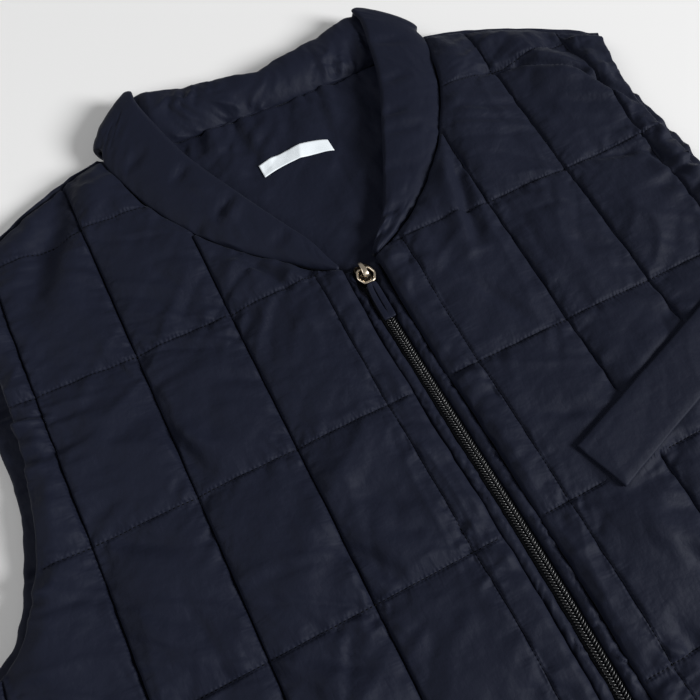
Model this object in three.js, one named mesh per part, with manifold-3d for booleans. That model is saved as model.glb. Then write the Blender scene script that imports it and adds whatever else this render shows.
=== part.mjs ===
// A quilted vest laid flat on its back: a sleeveless zipped jacket of padded nylon with a shaped stand collar.
// Millimetres. +X is the wearer's left, +Y points to the collar and +Z is up. The origin lies under the middle
// of the vest, on the surface that it rests on.
import * as THREE from "three";
import { mergeVertices } from "three/addons/utils/BufferGeometryUtils.js";
import Module from "manifold-3d";

const wasm = await Module();
wasm.setup();

// Driving sizes of the cut
const SEAM_GAP = 0.3;
const HEM_Y = -350.7;
const ZIP_TOP_Y = 187.5;
const PLACKET_X = 10.4;

// Quilting: upright lines every COLUMN from the first, level lines every ROW down from the top one
const COLUMN = 52;
const FIRST_LINE_X = 26;
const ROW = 80.7;
const TOP_ROW_Y = 271.8;
const QUILT_STEPS = [0, 0.12, 0.32, 0.5, 0.68, 0.88];
const PUFF = 6.4;
const ROW_DEPTH = 0.62; // how much of the puff a level line takes away

// Walls and the levels that they lie at
const BACK_TOP = 7;
const FRONT_LOW = BACK_TOP + SEAM_GAP;
const EDGE_WALL = 2.4;
const ROLL_TOP = 9.6; // the back's cloth rolls up over the shoulder and side edges to this height
const ROLL_WIDTH = 3.6;
const ROLL_REACH = { full: 3, far: 6 }; // distances from the roll's line where it is full and where it is gone
const RIM_DROP = { rolled: 1.6, open: 1.2 }; // how much lower the back's outermost edge is
const FRONT_INSET = 5;
const NECK_LIFT = { high: 3.8, reach: 46 };
const ARM_LIFT = { high: 4.5, reach: 34 };
const LIFT_FADE = 22; // the lifts fade out towards the shoulder and side seams
const EDGE_SOFT = 9; // the puff comes in over this far from a front's edge
const LOWEST_FOLD = -0.9;

// The zip's line drifts to the wearer's right towards the neck, and the cloth beside it goes with it
const DRIFT = { far: -5, startY: -20, over: 200, neckY: 190, neckFade: 25, sideFade: 40 };

// The outline of the wearer's left half, as the points that its curves run through
const NECK_SEAM = [
  { x: 11, y: ZIP_TOP_Y },
  { x: 35, y: 202 },
  { x: 67, y: 231.5 },
  { x: 90, y: 266 },
  { x: 99, y: 289 },
  { x: 105, y: 311.5 },
];
const BACK_NECK = [
  { x: 0, y: 310.5 },
  { x: 50, y: 311 },
  { x: 84, y: 313 },
  { x: 106.5, y: 317.5 },
];
const SHOULDER = [
  { x: 106.5, y: 317.5 },
  { x: 130, y: 311.5 },
  { x: 171, y: 293.5 },
  { x: 210, y: 272 },
];
const FRONT_ARMHOLE = [
  { x: 206.5, y: 268 },
  { x: 198.5, y: 243 },
  { x: 195, y: 203 },
  { x: 198.5, y: 150 },
  { x: 205.5, y: 117 },
  { x: 221, y: 85 },
  { x: 240, y: 73 },
  { x: 266.5, y: 64 },
];
const BACK_ARMHOLE = [
  { x: 210, y: 272 },
  { x: 203.5, y: 240 },
  { x: 203, y: 215 },
  { x: 207.5, y: 185 },
  { x: 207.5, y: 150 },
  { x: 216, y: 113 },
  { x: 230, y: 86 },
  { x: 272, y: 66 },
];
const SIDE = [
  { x: 272, y: 66 },
  { x: 268, y: -100 },
  { x: 265.5, y: -230 },
  { x: 268, y: HEM_Y },
];

// The collar's sections from the zip to the middle of the back. share is the place along the neck seam. The turns
// are how far the band has folded over, in degrees: 0 lies on the front and 180 lies on its outer face behind.
const COLLAR_FRONT = [
  { share: 0.015, edgeX: 10.2, edgeY: 194.5, edgeZ: 13.4 },
  { share: 0.17, edgeX: 24.5, edgeY: 215.5, edgeZ: 14.8 },
  { share: 0.43, edgeX: 44.5, edgeY: 255, edgeZ: 16.3 },
  { share: 0.68, edgeX: 61, edgeY: 291, edgeZ: 17.3 },
  { share: 0.86, edgeX: 69, edgeY: 320, edgeZ: 17.8 },
  { share: 0.985, edgeX: 72.8, edgeY: 338.5, edgeZ: 18 },
];
const COLLAR_FOLD = {
  seam: { x: 101.6, y: 319.6, z: 8, r: 3.4 },
  edge: { x: 73, y: 345.5, z: 12.2, r: 6 },
};
const COLLAR_FOLD_TURNS = [0, 36, 72, 108, 144, 180];
const COLLAR_BACK = [
  { seamX: 80, seamY: 313.9, edgeX: 66, edgeY: 348, edgeZ: 7.4, bulge: 1 },
  { seamX: 50, seamY: 311.5, edgeX: 46, edgeY: 342, edgeZ: 10.4, bulge: 2.4 },
  { seamX: 22, seamY: 311.2, edgeX: 20, edgeY: 336, edgeZ: 14, bulge: 2.6 },
  { seamX: 0.15, seamY: 311, edgeX: 0.15, edgeY: 331.5, edgeZ: 14.6, bulge: 2 },
];
const COLLAR_SEAM_Z = { front: 11.4, back: 5 };
const COLLAR_WALL = { seam: 1.2, padding: 3.1 };
const COLLAR_SEAM_OUT = 0.7; // how far outside the fronts' neck edge the collar's seam runs
const COLLAR_SECTIONS = 30;
const COLLAR_STEPS = [0, 0.1, 0.28, 0.5, 0.72, 0.9, 1];

// The largest folds of the fronts: a soft ridge, or a trough where high is below zero, from one point to another
const FOLDS = [
  { x0: -132, y0: 305, x1: -168, y1: 239, wide: 13, high: -3.6 },
  { x0: -112, y0: 300, x1: -150, y1: 236, wide: 16, high: 2.6 },
  { x0: -72, y0: 236, x1: -30, y1: 196, wide: 9, high: -2.6 },
  { x0: -60, y0: 238, x1: -24, y1: 200, wide: 9, high: 2 },
  { x0: 78, y0: 236, x1: 60, y1: 172, wide: 8, high: -2.8 },
  { x0: 66, y0: 226, x1: 50, y1: 170, wide: 9, high: 2.2 },
  { x0: 150, y0: 288, x1: 182, y1: 222, wide: 20, high: 3.2 },
  { x0: 196, y0: 262, x1: 192, y1: 200, wide: 12, high: -2.6 },
  { x0: 40, y0: 20, x1: 76, y1: -30, wide: 14, high: 2.2 },
  { x0: -60, y0: 100, x1: -104, y1: 52, wide: 15, high: 1.8 },
  { x0: -210, y0: 70, x1: -238, y1: -40, wide: 20, high: 2.6 },
  { x0: 214, y0: 66, x1: 240, y1: -56, wide: 18, high: 2.8 },
];

// The breast welt lies on the wearer's left front, its inner end nearest the zip
const WELT = { x: 46.4, y: 36.5, angle: 19, long: 125, high: 29, wall: 2, padding: 2.6, margin: 6 };
const WELT_FLAT = 0.5; // share of the puff left under the welt
const WELT_EDGE = 8; // the welt's padding comes in over this far from its edge

const LABEL = { x: -3.4, y: 268.5, long: 44, high: 9, wall: 0.8, rise: 3 };
const STRIP = { inner: 3.4, bySlider: 5.2, wall: 2.6, innerWall: 2.1, crown: 1.3, top: 186.5, taper: 4 };
const CHAIN = { half: 3.1, teeth: 2.6, wall: 1.1, high: 3.9, bevel: 0.75, top: 175.2 };
const SLIDER = { y: 181.5, wide: 9.6, long: 11.5, high: 5.2 };
const BRIDGE = { wide: 3, foot: 3.6, arch: 4, beam: 1, sunk: 0.4 };
const PULL = { pinY: 183.2, pin: 1.4, wide: 11.4, long: 9, bar: 1.5, topCorner: 2, footCorner: 3 };
const TAB = { wide: 7.2, long: 22, wall: 2.2 };

// How far apart the points along each line of the cut stand, and how the faces between them are filled
const STEPS = { neck: 9, backNeck: 20, edge: 11, side: 24, placket: 24, frontHem: 26, backHem: 40, welt: 9 };
const CLOSEST = 3; // points of an outline nearer than this are one point
const CLEAR = { rim: 3.2, welt: 5 }; // loose points keep this far from a rim and from the welt's edge
const RIMS = { front: [0, 2.4, 6.5], welt: [0, 2, 5], back: [0, 1.4, ROLL_WIDTH - 0.1, ROLL_WIDTH + 0.3] };
const BACK_FILL = { firstY: -290, step: 80, xs: [-180, -90, 0, 90, 180] };

const NAVY = { color: 0x1b1f2c, roughness: 0.55, metalness: 0 };
const BLACK = { color: 0x0b0c0e, roughness: 0.35, metalness: 0 };
const PALE_GOLD = { color: 0xb9a98a, roughness: 0.25, metalness: 1 };
const LABEL_WHITE = { color: 0xcfd6dc, roughness: 0.5, metalness: 0 };

const vest = new THREE.Group();

// Where a place of the straight cut lies once the zip's line has drifted
function drifted(x, y) {
  const along = smooth((y - DRIFT.startY) / DRIFT.over) * (1 - smooth((y - DRIFT.neckY) / DRIFT.neckFade));
  const across = 1 - smooth((Math.abs(x) - PLACKET_X) / DRIFT.sideFade);
  return x + DRIFT.far * along * across;
}

function add(name, geometry, look) {
  const places = geometry.getAttribute("position");
  for (let i = 0; i < places.count; i++) places.setX(i, drifted(places.getX(i), places.getY(i)));
  geometry.computeVertexNormals();
  const mesh = new THREE.Mesh(geometry, new THREE.MeshStandardMaterial(look));
  mesh.name = name;
  vest.add(mesh);
  return mesh;
}

function smooth(t) {
  const c = THREE.MathUtils.clamp(t, 0, 1);
  return c * c * (3 - 2 * c);
}

// Points spaced evenly along a smooth curve through a table's rows
function curve(rows, step) {
  const line = new THREE.SplineCurve(rows.map((r) => new THREE.Vector2(r.x, r.y)));
  return line.getSpacedPoints(Math.max(2, Math.round(line.getLength() / step)));
}

function straight(a, b, step) {
  const parts = Math.max(1, Math.round(a.distanceTo(b) / step));
  return Array.from({ length: parts + 1 }, (_, i) => a.clone().lerp(b, i / parts));
}

// The line's points moved sideways: to the right of its direction where distance is above zero
function moved(line, distance) {
  return line.map((p, i) => {
    const along = line[Math.min(i + 1, line.length - 1)].clone().sub(line[Math.max(i - 1, 0)]).normalize();
    return new THREE.Vector2(p.x + along.y * distance, p.y - along.x * distance);
  });
}

function mirrored(line) {
  return line.map((p) => new THREE.Vector2(-p.x, p.y)).reverse();
}

// One closed outline from lines that follow each other, with one point at each corner
function joined(...lines) {
  const all = lines.flat();
  return all.filter((p, i) => p.distanceTo(all[(i + 1) % all.length]) > CLOSEST);
}

function toLine(x, y, line) {
  let least = Infinity;
  for (let i = 0; i + 1 < line.length; i++) {
    const a = line[i];
    const b = line[i + 1];
    const dx = b.x - a.x;
    const dy = b.y - a.y;
    const t = THREE.MathUtils.clamp(((x - a.x) * dx + (y - a.y) * dy) / (dx * dx + dy * dy), 0, 1);
    least = Math.min(least, Math.hypot(x - a.x - t * dx, y - a.y - t * dy));
  }
  return least;
}

function inside(x, y, ring) {
  let odd = false;
  for (let i = 0, j = ring.length - 1; i < ring.length; j = i++) {
    const a = ring[i];
    const b = ring[j];
    if (a.y > y !== b.y > y && x < ((b.x - a.x) * (y - a.y)) / (b.y - a.y) + a.x) odd = !odd;
  }
  return odd;
}

// A ring's points moved inwards. The ring runs anticlockwise, so inwards is to its left.
function shrunk(ring, distance) {
  return ring.map((p, i) => {
    const before = p.clone().sub(ring[(i + ring.length - 1) % ring.length]).normalize();
    const after = ring[(i + 1) % ring.length].clone().sub(p).normalize();
    const along = before.clone().add(after).normalize();
    const spread = Math.max(0.6, along.dot(before));
    return new THREE.Vector2(p.x - (along.y * distance) / spread, p.y + (along.x * distance) / spread);
  });
}

// Delaunay triangles over a ring and the points inside it. The ring's own edges always stay, and a tiny wobble
// keeps three points off one line.
function triangulate(ring, loose) {
  const wobble = (i) => 1e-3 * Math.sin(i * 12.9898);
  const points = [...ring, ...loose].map((p, i) => new THREE.Vector2(p.x + wobble(i), p.y + wobble(i + 0.5)));
  const corners = new Map(); // the third corner of the triangle to the left of each edge
  const key = (a, b) => a * points.length + b;
  const turns = (a, b, c) => [[a, b, c], [b, c, a], [c, a, b]];
  const put = (a, b, c) => turns(a, b, c).forEach(([m, n, o]) => corners.set(key(m, n), o));
  const take = (a, b, c) => turns(a, b, c).forEach(([m, n]) => corners.delete(key(m, n)));
  const left = (a, b, p) => (b.x - a.x) * (p.y - a.y) - (b.y - a.y) * (p.x - a.x) > 0;
  const inCircle = (a, b, c, p) => {
    const [k, m, n] = [a, b, c].map((q) => ({ x: q.x - p.x, y: q.y - p.y, r: (q.x - p.x) ** 2 + (q.y - p.y) ** 2 }));
    return k.r * (m.x * n.y - n.x * m.y) - m.r * (k.x * n.y - n.x * k.y) + n.r * (k.x * m.y - m.x * k.y) > 1e-6;
  };
  const settle = (a, b) => {
    const [c, d] = [corners.get(key(a, b)), corners.get(key(b, a))];
    if (c === undefined || d === undefined || !inCircle(points[a], points[b], points[c], points[d])) return;
    take(a, b, c);
    take(b, a, d);
    put(a, d, c);
    put(d, b, c);
    for (const [m, n] of [[a, d], [d, b], [b, c], [c, a]]) settle(m, n);
  };
  const all = () => [...corners].map(([k, c]) => [Math.floor(k / points.length), k % points.length, c]);
  THREE.ShapeUtils.triangulateShape(points.slice(0, ring.length), []).forEach(([a, b, c]) => put(a, b, c));
  all().forEach(([a, b]) => settle(a, b));
  points.slice(ring.length).forEach((p, i) => {
    const holds = ([a, b, c]) => turns(a, b, c).every(([m, n]) => left(points[m], points[n], p));
    const found = all().find(holds);
    if (!found) return;
    const [a, b, c] = found;
    const made = ring.length + i;
    take(a, b, c);
    turns(a, b, c).forEach(([m, n]) => put(m, n, made));
    turns(a, b, c).forEach(([m, n]) => settle(m, n));
  });
  return all().filter(([a, b, c]) => a < b && a < c);
}

// A flat net over an outline: rings that step in from its edge, and loose points that fill the rest
function net(outline, insets, fill) {
  const rings = insets.map((d) => (d ? shrunk(outline, d) : outline));
  const last = rings[rings.length - 1];
  const closed = [...last, last[0]];
  const loose = fill.filter((p) => inside(p.x, p.y, last) && toLine(p.x, p.y, closed) > CLEAR.rim);
  const count = outline.length;
  const start = (rings.length - 1) * count;
  const triangles = triangulate(last, loose).map((t) => t.map((i) => i + start));
  for (let r = 0; r + 1 < rings.length; r++)
    for (let i = 0; i < count; i++) {
      const [a, b] = [r * count + i, r * count + ((i + 1) % count)];
      triangles.push([a, b, b + count], [a, b + count, a + count]);
    }
  return { points: [...rings.flat(), ...loose], triangles };
}

// A closed wall between two height functions over one outline
function wall(outline, lower, upper) {
  const [low, high] = [net(outline, lower.insets, lower.fill), net(outline, upper.insets, upper.fill)];
  const places = [
    ...low.points.map((p) => [p.x, p.y, lower.height(p.x, p.y)]),
    ...high.points.map((p) => [p.x, p.y, upper.height(p.x, p.y)]),
  ];
  const start = low.points.length;
  const under = low.triangles.map(([a, b, c]) => [a, c, b]);
  const faces = [...under, ...high.triangles.map((t) => t.map((i) => i + start))];
  outline.forEach((_, i) => {
    const next = (i + 1) % outline.length;
    faces.push([i, next, next + start], [i, next + start, i + start]);
  });
  return solid(places, faces);
}

function solid(places, faces) {
  const geometry = new THREE.BufferGeometry();
  geometry.setAttribute("position", new THREE.Float32BufferAttribute(places.flat(), 3));
  geometry.setIndex(faces.flat());
  geometry.computeVertexNormals();
  return geometry;
}

// The same closed shape seen in a mirror, with its faces turned to point out again
function mirror(geometry) {
  const made = geometry.clone();
  made.scale(-1, 1, 1);
  const index = made.index.array;
  for (let i = 0; i < index.length; i += 3) [index[i + 1], index[i + 2]] = [index[i + 2], index[i + 1]];
  made.computeVertexNormals();
  return made;
}

// Rings of points joined along their length and capped at both ends
function loft(rings) {
  const count = rings[0].length;
  const faces = [];
  for (let r = 0; r + 1 < rings.length; r++)
    for (let i = 0; i < count; i++) {
      const [a, b] = [r * count + i, r * count + ((i + 1) % count)];
      faces.push([a, b, b + count], [a, b + count, a + count]);
    }
  const end = (rings.length - 1) * count;
  for (let i = 1; i + 1 < count; i++) faces.push([0, i + 1, i], [end, end + i, end + i + 1]);
  return solid(rings.flat(), faces);
}

function manifoldOf(geometry) {
  const bare = new THREE.BufferGeometry();
  const flat = geometry.index ? geometry.toNonIndexed() : geometry;
  bare.setAttribute("position", flat.getAttribute("position"));
  const merged = mergeVertices(bare, 1e-3);
  return new wasm.Manifold(
    new wasm.Mesh({
      numProp: 3,
      vertProperties: merged.attributes.position.array,
      triVerts: new Uint32Array(merged.index.array),
    }),
  );
}

function union(...geometries) {
  const mesh = geometries.map(manifoldOf).reduce((a, b) => a.add(b)).getMesh();
  const made = new THREE.BufferGeometry();
  made.setAttribute("position", new THREE.Float32BufferAttribute(mesh.vertProperties, 3));
  made.setIndex([...mesh.triVerts]);
  made.computeVertexNormals();
  return made;
}

// The lines that the panels are cut to
const neckSeam = curve(NECK_SEAM, STEPS.neck);
const backNeck = curve(BACK_NECK, STEPS.backNeck);
const shoulder = curve(SHOULDER, STEPS.edge);
const frontArmhole = curve(FRONT_ARMHOLE, STEPS.edge);
const backArmhole = curve(BACK_ARMHOLE, STEPS.edge);
const side = curve(SIDE, STEPS.side);
const rolls = [shoulder, side].map((line) => line.slice(1, -1)); // the roll fades out before the corners
const frontRolls = [shoulder, side].map((line) => moved(line, FRONT_INSET));
const rollDistance = (x, y, lines) => Math.min(...lines.map((line) => toLine(Math.abs(x), y, line)));

function backOutline() {
  const up = [...backNeck, ...shoulder, ...backArmhole, ...side].reverse();
  const down = mirrored(up);
  const hem = straight(down[down.length - 1], up[0], STEPS.backHem);
  return joined(up, down, hem);
}

function frontOutline() {
  const [top, flank] = frontRolls;
  const hemY = HEM_Y + 1;
  const placketTop = new THREE.Vector2(PLACKET_X, ZIP_TOP_Y);
  const placketFoot = new THREE.Vector2(PLACKET_X, hemY);
  const sideFoot = new THREE.Vector2(flank[flank.length - 1].x, hemY);
  const up = [...top, ...frontArmhole, ...flank.slice(0, -1), sideFoot].reverse();
  const placket = straight(placketTop, placketFoot, STEPS.placket);
  return joined(up, [...neckSeam].reverse(), placket, straight(placketFoot, sideFoot, STEPS.frontHem));
}

// Quilting: 0 on a line and 1 at the middle of a cell, in one direction
function swell(place) {
  const share = place - Math.floor(place);
  return Math.sin(Math.PI * share) ** 0.62;
}

function foldsAt(x, y) {
  let height = 0;
  for (const f of FOLDS) {
    const dx = f.x1 - f.x0;
    const dy = f.y1 - f.y0;
    const t = THREE.MathUtils.clamp(((x - f.x0) * dx + (y - f.y0) * dy) / (dx * dx + dy * dy), 0, 1);
    const away = Math.hypot(x - f.x0 - t * dx, y - f.y0 - t * dy);
    height += f.high * smooth(1 - away / f.wide) * (0.4 + 0.6 * Math.sin(Math.PI * t));
  }
  return height;
}

// How far a point lies inside the welt's edge: 1 well under it and 0 outside
function underWelt(x, y) {
  const turn = THREE.MathUtils.degToRad(WELT.angle);
  const along = (x - WELT.x) * Math.cos(turn) + (y - WELT.y) * Math.sin(turn);
  const across = (y - WELT.y) * Math.cos(turn) - (x - WELT.x) * Math.sin(turn);
  const over = Math.max(-along, along - WELT.long, Math.abs(across) - WELT.high / 2);
  return smooth(1 - over / WELT.margin);
}

// The inner face of a front lies on the lining, and rises to the collar seam and the armhole
function frontLower(x, y) {
  const neck = NECK_LIFT.high * smooth(1 - toLine(Math.abs(x), y, neckSeam) / NECK_LIFT.reach);
  const arm = ARM_LIFT.high * smooth(1 - toLine(Math.abs(x), y, frontArmhole) / ARM_LIFT.reach);
  return FRONT_LOW + (neck + arm) * smooth(rollDistance(x, y, frontRolls) / LIFT_FADE);
}

const frontRing = frontOutline();
const frontEdge = [...frontRing, frontRing[0]];

function frontUpper(x, y) {
  const upright = swell((Math.abs(x) - FIRST_LINE_X) / COLUMN);
  const level = swell((TOP_ROW_Y - y) / ROW);
  const cell = upright * (1 - ROW_DEPTH + ROW_DEPTH * level);
  const puff = PUFF * THREE.MathUtils.lerp(cell, WELT_FLAT, underWelt(x, y));
  const edge = Math.sqrt(THREE.MathUtils.clamp(toLine(Math.abs(x), y, frontEdge) / EDGE_SOFT, 0, 1));
  const folds = foldsAt(x, y) * edge * (1 - underWelt(x, y));
  return frontLower(x, y) + EDGE_WALL + Math.max(LOWEST_FOLD, puff * edge + folds);
}

function quiltPoints() {
  const points = [];
  for (let column = -1; column < 5; column++)
    for (const u of QUILT_STEPS)
      for (let row = -1; row < 8; row++)
        for (const v of QUILT_STEPS)
          points.push(new THREE.Vector2(FIRST_LINE_X + (column + u) * COLUMN, TOP_ROW_Y - (row + v) * ROW));
  return points;
}

function coarsePoints() {
  const points = [];
  for (let column = 0; column < 5; column++)
    for (let half = -2; half < 16; half++)
      points.push(new THREE.Vector2(FIRST_LINE_X + column * COLUMN, TOP_ROW_Y - (half / 2) * ROW));
  return points;
}

// The points that the welt shares with the front under it
function weltAt(along, across) {
  const turn = THREE.MathUtils.degToRad(WELT.angle);
  const [cos, sin] = [Math.cos(turn), Math.sin(turn)];
  return new THREE.Vector2(WELT.x + along * cos - across * sin, WELT.y + along * sin + across * cos);
}

function weltRing() {
  const [long, half] = [WELT.long, WELT.high / 2];
  const corners = [weltAt(0, -half), weltAt(long, -half), weltAt(long, half), weltAt(0, half)];
  return joined(...corners.map((c, i) => straight(c, corners[(i + 1) % 4], STEPS.welt)));
}

function weltFill() {
  const points = [];
  for (let along = STEPS.welt; along < WELT.long - CLEAR.welt; along += STEPS.welt)
    for (const across of [-CLEAR.welt, CLEAR.welt]) points.push(weltAt(along, across));
  return points;
}

function front(sign) {
  const ring = weltRing();
  const clear = (p) => !inside(p.x, p.y, ring) && toLine(p.x, p.y, [...ring, ring[0]]) > CLEAR.welt;
  const fill = sign > 0 ? [...quiltPoints().filter(clear), ...ring, ...weltFill()] : quiltPoints();
  const lower = { insets: [0], fill: coarsePoints(), height: (x, y) => frontLower(x * sign, y) };
  const upper = { insets: RIMS.front, fill, height: (x, y) => frontUpper(x * sign, y) };
  const made = wall(frontRing, lower, upper);
  return sign > 0 ? made : mirror(made);
}

// The back lies flat. Its edge rolls up beside the fronts at the shoulders and sides, and is thin elsewhere.
function backUpper(x, y, depth) {
  const rolled = smooth((ROLL_REACH.far - rollDistance(x, y, rolls)) / (ROLL_REACH.far - ROLL_REACH.full));
  const rise = ROLL_TOP - (depth < 1 ? RIM_DROP.rolled : 0);
  const open = BACK_TOP - (depth < 1 ? RIM_DROP.open : 0);
  return depth > ROLL_WIDTH ? BACK_TOP : THREE.MathUtils.lerp(open, rise, rolled);
}

function back() {
  const ring = backOutline();
  const edge = [...ring, ring[0]];
  const depth = (x, y) => toLine(x, y, edge);
  const fill = [];
  for (let y = BACK_FILL.firstY; y < TOP_ROW_Y; y += BACK_FILL.step)
    for (const x of BACK_FILL.xs) fill.push(new THREE.Vector2(x, y));
  const lower = { insets: [0], fill: [], height: () => 0 };
  const upper = { insets: RIMS.back, fill, height: (x, y) => backUpper(x, y, depth(x, y)) };
  return wall(ring, lower, upper);
}

// One section of the collar: a padded wall between its seam and its free edge
function collarRing({ seam, edge, turn, bulge }) {
  const across = edge.clone().sub(seam);
  const outward = new THREE.Vector3(across.y, -across.x, 0).normalize();
  const facing = new THREE.Vector3(0, 0, Math.cos(turn)).addScaledVector(outward, Math.sin(turn));
  const unit = across.clone().normalize();
  facing.addScaledVector(unit, -facing.dot(unit)).normalize();
  const place = (v, sideways) => {
    const half = COLLAR_WALL.seam + COLLAR_WALL.padding * Math.sin(Math.PI * v ** 0.8) ** 0.6;
    const raise = bulge * Math.sin(Math.PI * v);
    return seam.clone().addScaledVector(across, v).addScaledVector(facing, sideways * half + raise).toArray();
  };
  return [...COLLAR_STEPS.map((v) => place(v, 1)), ...[...COLLAR_STEPS].reverse().map((v) => place(v, -1))];
}

function collarSections() {
  const seamPoints = moved(neckSeam, -COLLAR_SEAM_OUT).map((p) => new THREE.Vector3(p.x, p.y, 0));
  const seamLine = new THREE.CatmullRomCurve3(seamPoints);
  const rows = COLLAR_FRONT.map((r) => {
    const seam = seamLine.getPointAt(r.share).setZ(COLLAR_SEAM_Z.front);
    return { seam, edge: new THREE.Vector3(r.edgeX, r.edgeY, r.edgeZ), turn: 0, bulge: 0 };
  });
  const { seam, edge } = COLLAR_FOLD;
  const outward = new THREE.Vector3(edge.y - seam.y, seam.x - edge.x, 0).normalize();
  for (const degrees of COLLAR_FOLD_TURNS) {
    const turn = THREE.MathUtils.degToRad(degrees);
    const round = ({ x, y, z, r }) =>
      new THREE.Vector3(x, y, z + r * Math.cos(turn)).addScaledVector(outward, r * Math.sin(turn));
    rows.push({ seam: round(seam), edge: round(edge), turn, bulge: 0 });
  }
  for (const r of COLLAR_BACK) {
    const seam = new THREE.Vector3(r.seamX, r.seamY, COLLAR_SEAM_Z.back);
    rows.push({ seam, edge: new THREE.Vector3(r.edgeX, r.edgeY, r.edgeZ), turn: Math.PI, bulge: -r.bulge });
  }
  return rows;
}

function collar() {
  const rows = collarSections();
  const through = (pick) => new THREE.CatmullRomCurve3(rows.map(pick), false, "centripetal");
  const seams = through((r) => r.seam);
  const edges = through((r) => r.edge);
  const turns = new THREE.CatmullRomCurve3(rows.map((r, i) => new THREE.Vector3(r.turn, r.bulge, i)));
  const rings = Array.from({ length: COLLAR_SECTIONS }, (_, i) => {
    const t = i / (COLLAR_SECTIONS - 1);
    const bend = turns.getPoint(t);
    return collarRing({ seam: seams.getPoint(t), edge: edges.getPoint(t), turn: bend.x, bulge: bend.y });
  });
  return loft(rings.reverse());
}

// A flat strip of cloth with a crowned top, along the zip. It gives way to the slider near its top.
function strip() {
  const outer = PLACKET_X - SEAM_GAP;
  const profile = (inner) => [
    [inner, FRONT_LOW],
    [outer, FRONT_LOW],
    [outer, FRONT_LOW + STRIP.wall],
    [(inner + outer) / 2, FRONT_LOW + STRIP.wall + STRIP.crown],
    [inner, FRONT_LOW + STRIP.innerWall],
  ];
  const sliderFoot = SLIDER.y - SLIDER.long / 2 - SEAM_GAP;
  const [top, foot] = [new THREE.Vector2(0, sliderFoot - STRIP.taper), new THREE.Vector2(0, HEM_Y + 2)];
  const below = straight(top, foot, STEPS.placket);
  return loft([
    ...[STRIP.top, sliderFoot].map((y) => profile(STRIP.bySlider).map(([x, z]) => [x, y, z])),
    ...below.map((p) => profile(STRIP.inner).map(([x, z]) => [x, p.y, z])),
  ]);
}

// The zip: a tape with the row of teeth standing on it, as one bar
function chain() {
  const { half, teeth, wall: tape, high, bevel } = CHAIN;
  const side = [[half, 0], [half, tape], [teeth, tape + 0.2], [teeth, high - bevel], [teeth - bevel, high]];
  const profile = [...side, ...side.map(([x, z]) => [-x, z]).reverse()];
  const places = straight(new THREE.Vector2(0, CHAIN.top), new THREE.Vector2(0, HEM_Y + 3), STEPS.placket);
  return loft(places.map((p) => profile.map(([x, z]) => [x, p.y, FRONT_LOW + z])));
}

const sliderTop = FRONT_LOW + SLIDER.high;
const pinZ = sliderTop + (BRIDGE.arch - BRIDGE.beam) / 2;

function slider() {
  const plate = new THREE.Shape();
  const [half, long] = [SLIDER.wide / 2, SLIDER.long];
  plate.moveTo(-half * 0.72, -long / 2);
  plate.lineTo(half * 0.72, -long / 2);
  plate.quadraticCurveTo(half * 0.84, 0, half, long * 0.3);
  plate.quadraticCurveTo(half * 0.9, long / 2, 0, long / 2);
  plate.quadraticCurveTo(-half * 0.9, long / 2, -half, long * 0.3);
  plate.quadraticCurveTo(-half * 0.84, 0, -half * 0.72, -long / 2);
  const body = new THREE.ExtrudeGeometry(plate, { depth: SLIDER.high, bevelEnabled: false, curveSegments: 4 });
  body.translate(0, SLIDER.y, FRONT_LOW);
  const { wide, foot, arch: rise, beam, sunk } = BRIDGE;
  const arch = new THREE.Shape();
  arch.moveTo(-foot, -sunk);
  arch.quadraticCurveTo(-foot, rise, 0, rise);
  arch.quadraticCurveTo(foot, rise, foot, -sunk);
  arch.lineTo(foot - beam, -sunk);
  arch.quadraticCurveTo(foot - beam, rise - beam, 0, rise - beam);
  arch.quadraticCurveTo(-foot + beam, rise - beam, -foot + beam, -sunk);
  const bridge = new THREE.ExtrudeGeometry(arch, { depth: wide, bevelEnabled: false, curveSegments: 6 });
  bridge.rotateX(Math.PI / 2).rotateZ(Math.PI / 2);
  bridge.translate(-wide / 2, PULL.pinY, sliderTop);
  return union(body, bridge);
}

// The wire loop of the pull: its top bar is the pin that turns in the slider's bridge
function pull() {
  const { long, bar, pin } = PULL;
  const trace = (path, inset) => {
    const half = PULL.wide / 2 - inset;
    const top = half - PULL.topCorner;
    const foot = half - PULL.footCorner + inset * 0.4;
    path.moveTo(top, pin / 2 - inset);
    path.lineTo(-top, pin / 2 - inset);
    path.lineTo(-half, -long * 0.5);
    path.lineTo(-foot, -long + inset);
    path.lineTo(foot, -long + inset);
    path.lineTo(half, -long * 0.5);
    path.lineTo(top, pin / 2 - inset);
    return path;
  };
  const ring = trace(new THREE.Shape(), 0);
  ring.holes.push(trace(new THREE.Path(), bar));
  const made = new THREE.ExtrudeGeometry(ring, { depth: pin, bevelEnabled: false });
  made.translate(0, PULL.pinY, pinZ - pin / 2);
  return made;
}

// The cloth tab hangs from the loop's far bar and lies on the zip
function tab() {
  const top = PULL.pinY - PULL.long - SEAM_GAP;
  const rest = FRONT_LOW + CHAIN.high + SEAM_GAP;
  const sections = [
    { along: 0, half: 0.42, rise: 1.6, wall: 1 },
    { along: 0.2, half: 0.48, rise: 0.7, wall: 1.1 },
    { along: 0.6, half: 0.5, rise: 0, wall: 1 },
    { along: 1, half: 0.5, rise: 0, wall: 0.8 },
  ];
  return loft(
    sections.map((r) => {
      const [y, half] = [top - r.along * TAB.long, r.half * TAB.wide];
      const [low, thick] = [rest + r.rise, r.wall * TAB.wall];
      const side = [[half, low], [half, low + thick * 0.7], [half * 0.5, low + thick]];
      return [...side, ...side.map(([x, z]) => [-x, z]).reverse()].map(([x, z]) => [x, y, z]);
    }),
  );
}

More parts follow.
